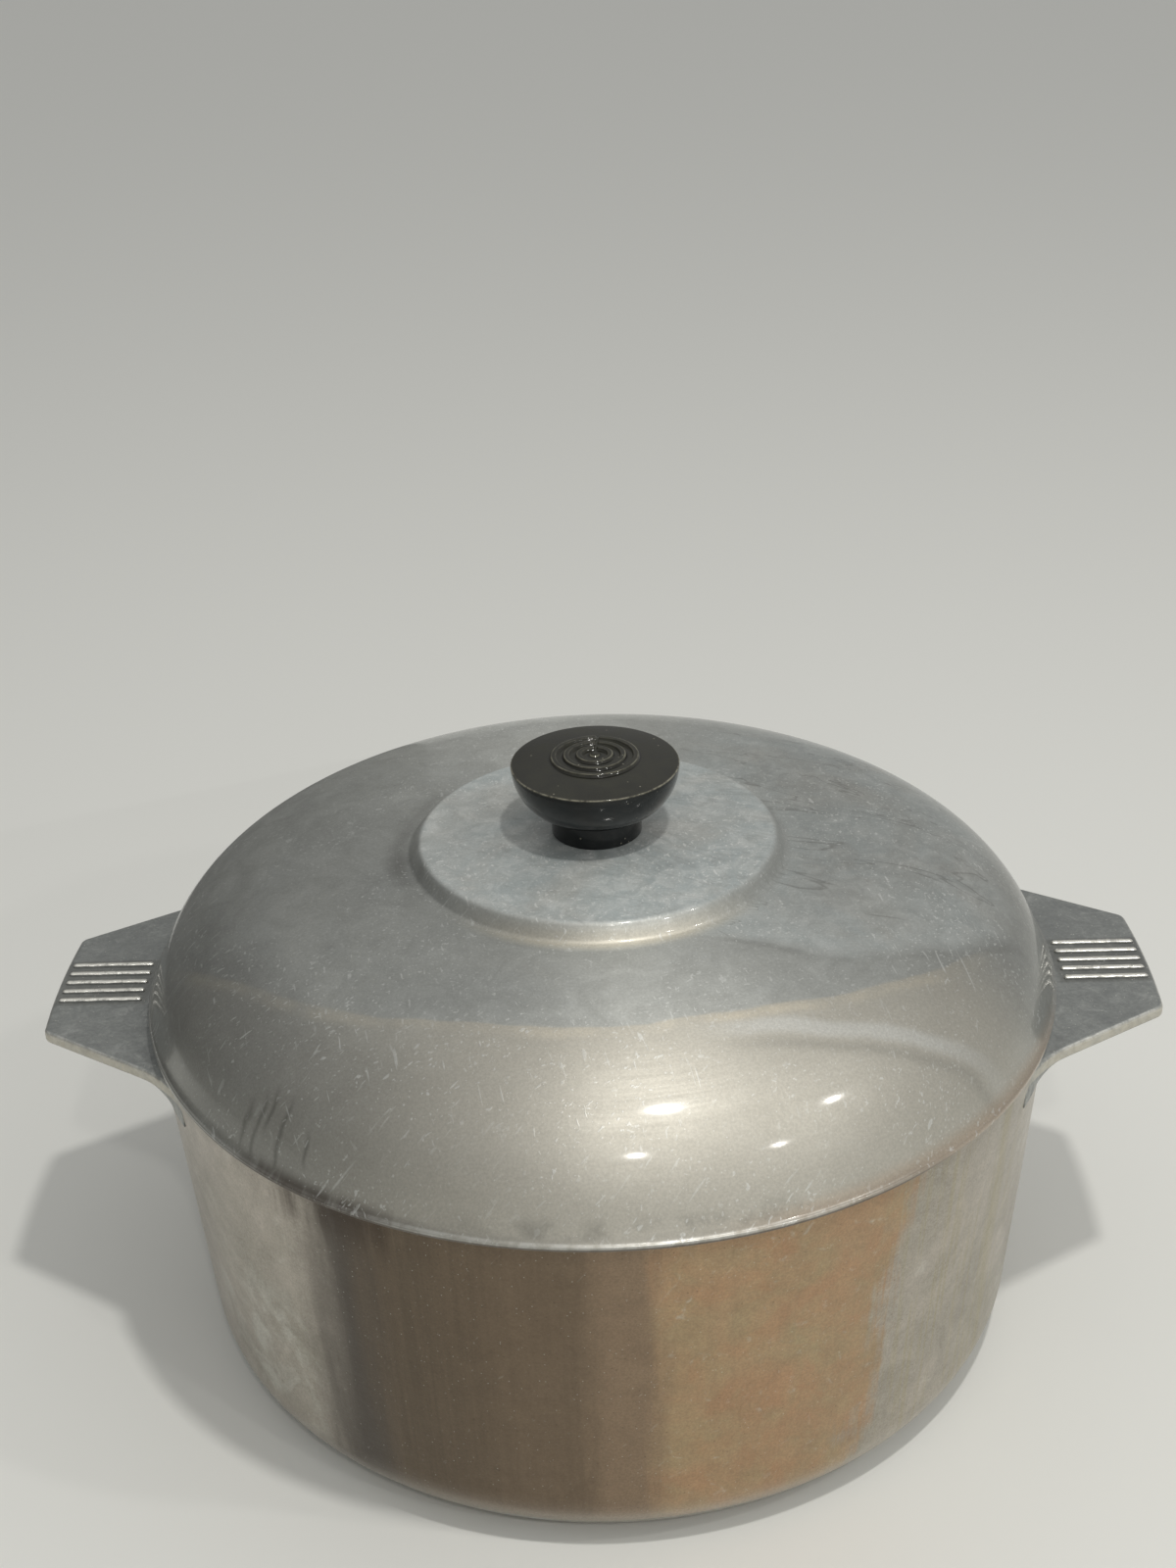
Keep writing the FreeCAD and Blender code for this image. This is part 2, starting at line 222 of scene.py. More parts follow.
@dataclass
class Surface:
    """A mesh in the making: points in mm, faces, and one wear value for each point."""

    points: np.ndarray
    faces: list[tuple[int, ...]]
    wear: np.ndarray

    def piece(self, name: str, body: Body, finish: Finish, *stands_for: str) -> bpy.types.Object:
        """Make the object, smooth it, give it its wear values, put it on its body and hide the CAD nodes
        that it stands for.

        Args:
            name: Name of the piece.
            body: Body that it rides on.
            finish: The record's material slot; not used.
            stands_for: CAD nodes that it is shown in place of.

        Returns:
            The new object.
        """
        mesh = bpy.data.meshes.new(name)
        mesh.from_pydata((self.points * MM).tolist(), [], self.faces)
        mesh.shade_smooth()
        attribute = mesh.attributes.new("wear", "FLOAT", "POINT")
        attribute.data.foreach_set("value", self.wear.astype(np.float32))
        mesh.validate()
        made = bpy.data.objects.new(name, mesh)
        bpy.context.scene.collection.objects.link(made)
        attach(made, body.value)
        if stands_for:
            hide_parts(*stands_for)
        LOG.info("%s: %d points, %d faces on %s", name, len(self.points), len(self.faces), body.value)
        return made


def joined(surfaces: Iterable[Surface]) -> Surface:
    """Several surfaces as one, their faces renumbered.

    Args:
        surfaces: The surfaces.

    Returns:
        The one surface.
    """
    points, faces, wear, offset = [], [], [], 0
    for surface in surfaces:
        points.append(surface.points)
        wear.append(surface.wear)
        faces.extend(tuple(corner + offset for corner in face) for face in surface.faces)
        offset += len(surface.points)
    return Surface(np.concatenate(points), faces, np.concatenate(wear))


def turned(profile: np.ndarray, segments: int, wear: np.ndarray | None = None) -> Surface:
    """Turn a profile about +Z: point (i, j) is (r_i sin a_j, -r_i cos a_j, z_i), a_j the azimuth.

    A profile that starts and ends on the axis is closed at each end by one pole point, and any other
    is closed from its last point back to its first. It runs with the material on its left as seen
    with the radius to the right, so every face points out.

    Args:
        profile: An (n, 2) array of radius and height in mm.
        segments: Steps round the axis.
        wear: Wear value of each profile point, or none.

    Returns:
        The closed surface.
    """
    azimuth = 2 * np.pi * np.arange(segments) / segments
    radius, height = profile[:, 0], profile[:, 1]
    if wear is None:
        wear = np.zeros(len(profile))
    first_pole, last_pole = radius[0] < 1e-6, radius[-1] < 1e-6
    rows = slice(int(first_pole), len(profile) - int(last_pole))
    around, along = np.meshgrid(azimuth, radius[rows])
    points = np.stack([along * np.sin(around), -along * np.cos(around), 0 * around], -1)
    points[..., 2] = height[rows][:, None]
    count = points.shape[0]
    index = np.arange(count * segments).reshape(count, segments)
    if first_pole and last_pole:
        low, high = index[:-1], index[1:]
    else:
        low, high = index, np.roll(index, -1, 0)
    quads = np.stack([low, np.roll(low, -1, 1), np.roll(high, -1, 1), high], -1).reshape(-1, 4)
    faces = [tuple(face) for face in quads.tolist()]
    flat = points.reshape(-1, 3)
    worn = np.repeat(wear[rows], segments)
    if first_pole and last_pole:
        start, end = len(flat), len(flat) + 1
        flat = np.concatenate([flat, [[0, 0, height[0]], [0, 0, height[-1]]]])
        worn = np.concatenate([worn, [wear[0], wear[-1]]])
        inner, outer = index[0], index[-1]
        faces += [(start, b, a) for a, b in zip(inner.tolist(), np.roll(inner, -1).tolist())]
        faces += [(a, b, end) for a, b in zip(outer.tolist(), np.roll(outer, -1).tolist())]
    return Surface(flat, faces, worn)


def tube(loop: np.ndarray, wear: np.ndarray, end_wear: float, flip: bool = False) -> Surface:
    """Close a loop that is carried along a path: quads between its rows, a fan at each end.

    Args:
        loop: Points by row round the loop, then by step along the path.
        wear: Wear value of each row.
        end_wear: Wear value of the middle of both ends.
        flip: Whether the loop runs the other way round, so that every face has to be turned.

    Returns:
        The closed surface.
    """
    count, length = loop.shape[:2]
    index = np.arange(count * length).reshape(count, length)
    low, high = index, np.roll(index, -1, 0)
    quads = np.stack([low[:, :-1], low[:, 1:], high[:, 1:], high[:, :-1]], -1).reshape(-1, 4)
    points = np.concatenate([loop.reshape(-1, 3), loop.mean(0)[[0, -1]]])
    first, last = len(points) - 2, len(points) - 1
    start, end = index[:, 0].tolist(), index[:, -1].tolist()
    faces = [tuple(face) for face in quads.tolist()]
    faces += [(first, a, b) for a, b in zip(start, start[1:] + start[:1])]
    faces += [(last, b, a) for a, b in zip(end, end[1:] + end[:1])]
    if flip:
        faces = [face[:1] + face[:0:-1] for face in faces]
    return Surface(points, faces, np.concatenate([np.repeat(wear, length), [end_wear, end_wear]]))


def settle(surface: Surface, depth: float, seed: float) -> None:
    """Pull a turned surface in by up to a small depth, as a cast and hand-polished wall is uneven.

    The pull is depth times half of 1 plus a mean of four sines of the azimuth and height, so it
    repeats without a seam and never pushes a point out.

    Args:
        surface: The surface to change.
        depth: Largest pull in mm.
        seed: Shifts the waves.
    """
    x, y, z = surface.points.T
    around = np.arctan2(x, -y)
    waves = (
        np.sin(2 * around + 0.031 * z + seed)
        + np.sin(3 * around - 0.052 * z + 2.1 * seed)
        + np.sin(5 * around + 0.083 * z + 3.7 * seed)
        + np.sin(8 * around - 0.110 * z + 0.6 * seed)
    ) / 4
    radius = np.maximum(np.hypot(x, y), 1e-6)
    pull = depth * 0.5 * (1 + waves) * np.clip(radius / 60, 0, 1)
    surface.points[:, 0] -= x / radius * pull
    surface.points[:, 1] -= y / radius * pull


# ---------------------------------------------------------------------------------------------
# Shader nodes
# ---------------------------------------------------------------------------------------------


class Graph:
    """Short ways to add and wire the nodes of one tree."""

    def __init__(self, tree: bpy.types.NodeTree) -> None:
        """Start on a tree."""
        self.tree = tree

    def add(
        self, kind: str, inputs: dict[str | int, object] | None = None, **settings: object
    ) -> bpy.types.Node:
        """Add a node.

        Args:
            kind: The node's type, without its ShaderNode prefix.
            inputs: Values or sockets for its inputs by name or number.
            settings: Its own properties.

        Returns:
            The node.
        """
        made = self.tree.nodes.new("ShaderNode" + kind)
        for name, value in settings.items():
            setattr(made, name, value)
        for name, value in (inputs or {}).items():
            self.feed(made.inputs[name], value)
        return made

    def feed(self, target: Socket, value: object) -> None:
        """Link a socket to an input, or set the input's own value.

        Args:
            target: The input.
            value: A socket, a colour or a plain value.
        """
        if isinstance(value, bpy.types.NodeSocket):
            self.tree.links.new(value, target)
        elif isinstance(value, tuple) and target.type == "RGBA":
            target.default_value = (*value[:3], 1.0)
        else:
            target.default_value = value

    def maths(self, operation: str, a: object, b: object = 0.0, clamp: bool = False) -> Socket:
        """A Math node of two values."""
        return self.add("Math", {0: a, 1: b}, operation=operation, use_clamp=clamp).outputs[0]

    def times(self, first: object, *others: object) -> Socket:
        """The product of values, from left to right.

        Args:
            first: The first factor.
            others: The other factors.

        Returns:
            The product.
        """
        for other in others:
            first = self.maths("MULTIPLY", first, other)
        return first

    def most(self, first: object, *others: object) -> Socket:
        """The largest of values.

        Args:
            first: The first value.
            others: The other values.

        Returns:
            The largest.
        """
        for other in others:
            first = self.maths("MAXIMUM", first, other)
        return first

    def plus(self, a: object, b: object) -> Socket:
        """The sum of two values."""
        return self.maths("ADD", a, b)

    def less(self, a: object, b: object) -> Socket:
        """One value less another."""
        return self.maths("SUBTRACT", a, b)

    def tint(self, colour: object, onto: object, *mask: object) -> Socket:
        """A colour turned towards another by a mask, which is a product of values."""
        return self.blend(self.times(*mask), colour, onto)

    def smooth(
        self, value: object, low: float, high: float, at_low: float = 0.0, at_high: float = 1.0
    ) -> Socket:
        """A smooth step from at_low to at_high as value goes from low to high."""
        inputs = {"Value": value, "From Min": low, "From Max": high, "To Min": at_low, "To Max": at_high}
        return self.add("MapRange", inputs, interpolation_type="SMOOTHSTEP").outputs["Result"]

    def window(self, value: object, start: float, end: float, edge: float) -> Socket:
        """1 where value is between start and end, falling to 0 over an edge on each side.

        Args:
            value: The value.
            start: Where the window starts.
            end: Where it ends.
            edge: Half the width of each of its soft edges.

        Returns:
            The window as 0 to 1.
        """
        rise = self.smooth(value, start - edge, start + edge)
        fall = self.smooth(value, end - edge, end + edge, 1.0, 0.0)
        return self.maths("MULTIPLY", rise, fall)

    def noise(
        self,
        vector: object,
        scale: float,
        detail: float = 4.0,
        roughness: float = 0.5,
        distortion: float = 0.0,
    ) -> Socket:
        """A noise value of about 0.3 to 0.7.

        Args:
            vector: Where it is read.
            scale: How fine it is.
            detail: How many finer layers it has.
            roughness: How strong those layers are.
            distortion: How much it is warped.

        Returns:
            The noise.
        """
        inputs = {"Vector": vector, "Scale": scale, "Detail": detail}
        inputs.update({"Roughness": roughness, "Distortion": distortion})
        return self.add("TexNoise", inputs).outputs[0]

    def stretched(
        self, vector: object, scale: Sequence[float], turn: Sequence[float] = (0.0, 0.0, 0.0)
    ) -> Socket:
        """A vector turned and then scaled, for a pattern drawn out in one direction."""
        turned_first = self.add("Mapping", {"Vector": vector, "Rotation": tuple(turn)}).outputs[0]
        return self.add("Mapping", {"Vector": turned_first, "Scale": tuple(scale)}).outputs[0]

    def blend(self, factor: object, a: object, b: object) -> Socket:
        """A colour between two colours.

        Args:
            factor: 0 for the first and 1 for the second.
            a: The first colour.
            b: The second colour.

        Returns:
            The colour.
        """
        made = self.add("Mix", {0: factor}, data_type="RGBA", blend_type="MIX")
        self.feed(made.inputs[6], a)
        self.feed(made.inputs[7], b)
        return made.outputs[2]

    def between(self, factor: object, a: object, b: object) -> Socket:
        """A value between two values.

        Args:
            factor: 0 for the first and 1 for the second.
            a: The first value.
            b: The second value.

        Returns:
            The value.
        """
        made = self.add("Mix", {0: factor}, data_type="FLOAT")
        self.feed(made.inputs[2], a)
        self.feed(made.inputs[3], b)
        return made.outputs[0]

    def bump(
        self, height: object, distance: float, strength: float = 1.0, normal: Socket | None = None
    ) -> Socket:
        """A normal from a height.

        Args:
            height: The height as a share of distance.
            distance: What a height of 1 is, in metres.
            strength: How much of it counts.
            normal: A normal that it is laid over.

        Returns:
            The normal.
        """
        inputs = {"Height": height, "Distance": distance, "Strength": strength}
        if normal is not None:
            inputs["Normal"] = normal
        return self.add("Bump", inputs).outputs[0]

    def effect(self, tree: bpy.types.NodeTree, inputs: dict[str, object]) -> bpy.types.Node:
        """Place a shared group.

        Args:
            tree: The group.
            inputs: Values or sockets for its inputs by name.

        Returns:
            Its node.
        """
        made = self.tree.nodes.new("ShaderNodeGroup")
        made.node_tree = tree
        for name, value in inputs.items():
            self.feed(made.inputs[name], value)
        return made


class SharedEffects:
    """The node groups that several finishes use, each built once."""

    def __init__(self) -> None:
        """Build every group."""
        self.round_space = self._round_space()
        self.scratches = self._scratches()
        self.blotches = self._blotches()
        self.specks = self._specks()
        self.turning = self._turning()
        self.runs = self._runs()
        self.edge_wear = self._edge_wear()

    @staticmethod
    def _group(
        name: str, inputs: dict[str, tuple[str, object]], outputs: dict[str, str]
    ) -> tuple[Graph, bpy.types.Node, bpy.types.Node]:
        """Start a group.

        Args:
            name: Name of the group.
            inputs: Socket kind and starting value of each input by name.
            outputs: Socket kind of each output by name.

        Returns:
            The graph, the node of its inputs and the node of its outputs.
        """
        tree = bpy.data.node_groups.new(name, "ShaderNodeTree")
        for label, (kind, value) in inputs.items():
            socket = tree.interface.new_socket(label, in_out="INPUT", socket_type="NodeSocket" + kind)
            if value is not None:
                socket.default_value = value
        for label, kind in outputs.items():
            tree.interface.new_socket(label, in_out="OUTPUT", socket_type="NodeSocket" + kind)
        graph = Graph(tree)
        return graph, tree.nodes.new("NodeGroupInput"), tree.nodes.new("NodeGroupOutput")

    def _round_space(self) -> bpy.types.NodeTree:
        """Object coordinates as azimuth in degrees from the front, radius and height in mm.

        Returns:
            The group.
        """
        g, given, made = self._group(
            "round_space",
            {"Vector": ("Vector", None)},
            {"Around": "Vector", "Azimuth": "Float", "Radius": "Float", "Height": "Float"},
        )
        axes = g.add("SeparateXYZ", {0: given.outputs["Vector"]}).outputs
        back = g.times(axes[1], -1.0)
        angle = g.maths("ARCTAN2", axes[0], back)
        flat = g.add("CombineXYZ", {0: axes[0], 1: axes[1], 2: 0.0}).outputs[0]
        length = g.add("VectorMath", {0: flat}, operation="LENGTH").outputs["Value"]
        unit = g.add("VectorMath", {0: flat}, operation="NORMALIZE").outputs[0]
        g.feed(made.inputs["Around"], unit)
        g.feed(made.inputs["Azimuth"], g.times(angle, math.degrees(1)))
        g.feed(made.inputs["Radius"], g.times(length, TO_MM))
        g.feed(made.inputs["Height"], g.times(axes[2], TO_MM))
        return g.tree

    def _scratches(self) -> bpy.types.NodeTree:
        """Fine straight scratches in several directions: noise drawn out along each and cut high.

        Returns:
            The group.
        """
        g, given, made = self._group(
            "scratches",
            {"Vector": ("Vector", None), "Scale": ("Float", 100.0), "Density": ("Float", 0.5)},
            {"Mask": "Float"},
        )
        vector = g.add("VectorMath", {0: given.outputs["Vector"]}, operation="SCALE")
        g.feed(vector.inputs["Scale"], given.outputs["Scale"])
        cut = g.maths("MULTIPLY_ADD", given.outputs["Density"], -0.16)
        cut.node.inputs[2].default_value = 0.80
        total: Socket | None = None
        for turn in ((0.3, 0.9, 0.2), (1.1, -0.5, 1.4), (-0.7, 0.4, 2.3), (0.2, -1.2, 0.9)):
            drawn = g.stretched(vector.outputs[0], (0.06, 1.0, 1.0), turn)
            grain = g.noise(drawn, 3.0, 2.0, 0.4)
            above = g.less(grain, cut)
            line = g.maths("MULTIPLY", above, 22.0, clamp=True)
            total = line if total is None else g.most(total, line)
        patchy = g.smooth(g.noise(given.outputs["Vector"], 38.0, 2.0), 0.38, 0.62, 0.25, 1.0)
        g.feed(made.inputs["Mask"], g.times(total, patchy))
        return g.tree

    def _blotches(self) -> bpy.types.NodeTree:
        """Cloudy stains: noise of noise, cut softly at a wanted cover.

        Returns:
            The group.
        """
        g, given, made = self._group(
            "blotches",
            {
                "Vector": ("Vector", None),
                "Scale": ("Float", 20.0),
                "Cover": ("Float", 0.5),
                "Softness": ("Float", 0.1),
            },
            {"Mask": "Float"},
        )
        texture = g.add("TexNoise", {"Vector": given.outputs["Vector"], "Detail": 8.0, "Roughness": 0.62})
        g.feed(texture.inputs["Scale"], given.outputs["Scale"])
        texture.inputs["Distortion"].default_value = 0.9
        middle = g.less(1.0, given.outputs["Cover"])
        spread = g.maths("MULTIPLY_ADD", middle, 0.5)
        spread.node.inputs[2].default_value = 0.25
        above = g.less(texture.outputs[0], spread)
        share = g.maths("DIVIDE", above, given.outputs["Softness"])
        g.feed(made.inputs["Mask"], g.maths("ADD", share, 0.5, clamp=True))
        return g.tree

    def _specks(self) -> bpy.types.NodeTree:
        """Small round marks: the cores of random cells, of which only a few are kept.

        Returns:
            The group.
        """
        g, given, made = self._group(
            "specks",
            {"Vector": ("Vector", None), "Scale": ("Float", 200.0), "Share": ("Float", 0.1)},
            {"Mask": "Float"},
        )
        cells = g.add("TexVoronoi", {"Vector": given.outputs["Vector"]})
        g.feed(cells.inputs["Scale"], given.outputs["Scale"])
        core = g.smooth(cells.outputs["Distance"], 0.12, 0.3, 1.0, 0.0)
        pick = g.add("SeparateColor", {0: cells.outputs["Color"]}).outputs[0]
        kept = g.maths("LESS_THAN", pick, given.outputs["Share"])
        g.feed(made.inputs["Mask"], g.times(core, kept))
        return g.tree

    def _turning(self) -> bpy.types.NodeTree:
        """Fine marks of a lathe or buff that run round the axis: noise along radius plus height.

        Returns:
            The group.
        """
        g, given, made = self._group(
            "turning_marks",
            {
                "Around": ("Vector", None),
                "Radius": ("Float", 0.0),
                "Height": ("Float", 0.0),
                "Fineness": ("Float", 1.0),
            },
            {"Mark": "Float"},
        )
        slant = g.plus(given.outputs["Radius"], given.outputs["Height"])
        rise = g.times(slant, given.outputs["Fineness"])
        lift = g.add("CombineXYZ", {0: 0.0, 1: 0.0, 2: rise}).outputs[0]
        slow = g.add("VectorMath", {0: given.outputs["Around"]}, operation="SCALE")
        slow.inputs["Scale"].default_value = 1.6
        vector = g.add("VectorMath", {0: slow.outputs[0], 1: lift}, operation="ADD").outputs[0]
        g.feed(made.inputs["Mark"], g.noise(vector, 1.0, 5.0, 0.7))
        return g.tree

    def _runs(self) -> bpy.types.NodeTree:
        """Stains that have run down a wall: noise that changes fast round it and slowly down it.

        Returns:
            The group.
        """
        g, given, made = self._group(
            "runs",
            {
                "Around": ("Vector", None),
                "Height": ("Float", 0.0),
                "Closeness": ("Float", 20.0),
                "Length": ("Float", 60.0),
            },
            {"Run": "Float"},
        )
        fall = g.maths("DIVIDE", given.outputs["Height"], given.outputs["Length"])
        lift = g.add("CombineXYZ", {0: 0.0, 1: 0.0, 2: fall}).outputs[0]
        quick = g.add("VectorMath", {0: given.outputs["Around"]}, operation="SCALE")
        g.feed(quick.inputs["Scale"], given.outputs["Closeness"])
        vector = g.add("VectorMath", {0: quick.outputs[0], 1: lift}, operation="ADD").outputs[0]
        g.feed(made.inputs["Run"], g.noise(vector, 1.0, 4.0, 0.6, 0.25))
        return g.tree

    def _edge_wear(self) -> bpy.types.NodeTree:
        """Wear along edges: the mesh's wear value, broken up by noise.

        Returns:
            The group.
        """
        g, given, made = self._group(
            "edge_wear",
            {"Vector": ("Vector", None), "Wear": ("Float", 0.0), "Scale": ("Float", 300.0)},
            {"Mask": "Float"},
        )
        texture = g.add("TexNoise", {"Vector": given.outputs["Vector"], "Detail": 5.0, "Roughness": 0.65})
        g.feed(texture.inputs["Scale"], given.outputs["Scale"])
        broken = g.smooth(texture.outputs[0], 0.36, 0.60)
        lifted = g.maths("MULTIPLY_ADD", broken, 0.9)
        lifted.node.inputs[2].default_value = 0.25
        g.feed(made.inputs["Mask"], g.maths("MULTIPLY", given.outputs["Wear"], lifted, clamp=True))
        return g.tree


@dataclass
class Material:
    """One finish: its material, graph, coordinates and shader."""

    name: str
    effects: SharedEffects
    graph: Graph = field(init=False)
    shader: bpy.types.Node = field(init=False)
    place: Socket = field(init=False)
    material: bpy.types.Material = field(init=False)

    def __post_init__(self) -> None:
        """Make the material with one Principled shader and Object coordinates."""
        self.material = bpy.data.materials.new(self.name)
        self.material.use_nodes = True
        tree = self.material.node_tree
        tree.nodes.clear()
        self.graph = Graph(tree)
        output = tree.nodes.new("ShaderNodeOutputMaterial")
        self.shader = tree.nodes.new("ShaderNodeBsdfPrincipled")
        tree.links.new(self.shader.outputs[0], output.inputs[0])
        self.place = self.graph.add("TexCoord").outputs["Object"]

    def round_space(self) -> dict[str, Socket]:
        """The place as azimuth, radius and height."""
        node = self.graph.effect(self.effects.round_space, {"Vector": self.place})
        return {socket.name: socket for socket in node.outputs}

    def wear(self) -> Socket:
        """The mesh's wear value."""
        return self.graph.add("Attribute", attribute_name="wear").outputs["Fac"]

    def scratches(self, scale: float, density: float) -> Socket:
        """Mask of fine scratches."""
        inputs = {"Vector": self.place, "Scale": scale, "Density": density}
        return self.graph.effect(self.effects.scratches, inputs).outputs[0]

    def blotches(self, scale: float, cover: float, softness: float) -> Socket:
        """Mask of cloudy stains."""
        inputs = {"Vector": self.place, "Scale": scale, "Cover": cover, "Softness": softness}
        return self.graph.effect(self.effects.blotches, inputs).outputs[0]

    def specks(self, scale: float, share: float) -> Socket:
        """Mask of small round marks."""
        inputs = {"Vector": self.place, "Scale": scale, "Share": share}
        return self.graph.effect(self.effects.specks, inputs).outputs[0]

    def turning(self, space: dict[str, Socket], fineness: float) -> Socket:
        """Height of fine marks that run round the axis."""
        inputs = {name: space[name] for name in ("Around", "Radius", "Height")}
        return self.graph.effect(self.effects.turning, {**inputs, "Fineness": fineness}).outputs[0]

    def runs(self, space: dict[str, Socket], closeness: float, length: float) -> Socket:
        """Noise of stains that have run down a wall.

        Args:
            space: The place as azimuth, radius and height.
            closeness: How close together the stains are.
            length: How long they are, in mm.

        Returns:
            The noise.
        """
        inputs = {name: space[name] for name in ("Around", "Height")}
        inputs.update({"Closeness": closeness, "Length": length})
        return self.graph.effect(self.effects.runs, inputs).outputs[0]

    def edge_wear(self, scale: float) -> Socket:
        """Mask of wear along edges."""
        inputs = {"Vector": self.place, "Wear": self.wear(), "Scale": scale}
        return self.graph.effect(self.effects.edge_wear, inputs).outputs[0]

    def worn_in(
        self, colour: Socket, light: Colour, dark: Colour, fine: Marks, long: Marks, depth: Marks
    ) -> tuple[Socket, Socket]:
        """Cover a metal with fine and long scratches, and with the grain of its casting.

        Args:
            colour: Colour of the metal.
            light: Colour of the scratches.
            dark: Colour of the grain.
            fine: Scale and density of the fine scratches.
            long: Scale and density of the long ones.
            depth: How strongly the scratches and the grain show.

        Returns:
            The new colour and the mask of the scratches.
        """
        g = self.graph
        marked = g.most(self.scratches(*fine), self.scratches(*long))
        colour = g.tint(colour, light, marked, depth[0])
        grain = g.noise(self.place, GRAIN_SCALE, 3.0, 0.7)
        return g.blend(g.smooth(grain, 0.35, 0.65, depth[1], 0.0), colour, dark), marked

    def layered(self, base: object, *layers: tuple[Socket, float]) -> object:
        """A value with others laid over it in turn.

        Args:
            base: The value underneath.
            layers: Mask and value of each layer.

        Returns:
            The value.
        """
        for mask, value in layers:
            base = self.graph.between(mask, base, value)
        return base

    def relief(self, *layers: tuple[Socket, float, float]) -> Socket:
        """A normal from fine heights, one laid over another.

        Args:
            layers: Height, what a height of 1 is in metres, and strength of each layer.

        Returns:
            The normal.
        """
        normal: Socket | None = None
        for height, distance, strength in layers:
            normal = self.graph.bump(height, distance, strength, normal)
        return normal

    def finish(
        self,
        colour: object,
        roughness: object,
        metallic: object,
        normal: Socket,
        **constants: float,
    ) -> None:
        """Feed the shader.

        Args:
            colour: Its base colour.
            roughness: Its roughness.
            metallic: How metallic it is.
            normal: Its normal.
            constants: Values that are the same all over, by socket with _ for a space.
        """
        self.graph.feed(self.shader.inputs["Base Color"], colour)
        self.graph.feed(self.shader.inputs["Roughness"], roughness)
        self.graph.feed(self.shader.inputs["Metallic"], metallic)
        self.graph.feed(self.shader.inputs["Normal"], normal)
        for socket, value in constants.items():
            self.shader.inputs[socket.replace("_", " ")].default_value = value


@dataclass(frozen=True)
class Dressing:
    """What every finish shares. Each one lays its own layers on in paint."""

    title: str

    def paint(self, m: Material) -> None:
        """Lay the finish on."""
        raise NotImplementedError

    def make(self, effects: SharedEffects) -> bpy.types.Material:
        """Build the material.

        Args:
            effects: The shared node groups.

        Returns:
            The material.
        """
        m = Material(self.title, effects)
        self.paint(m)
        return m.material


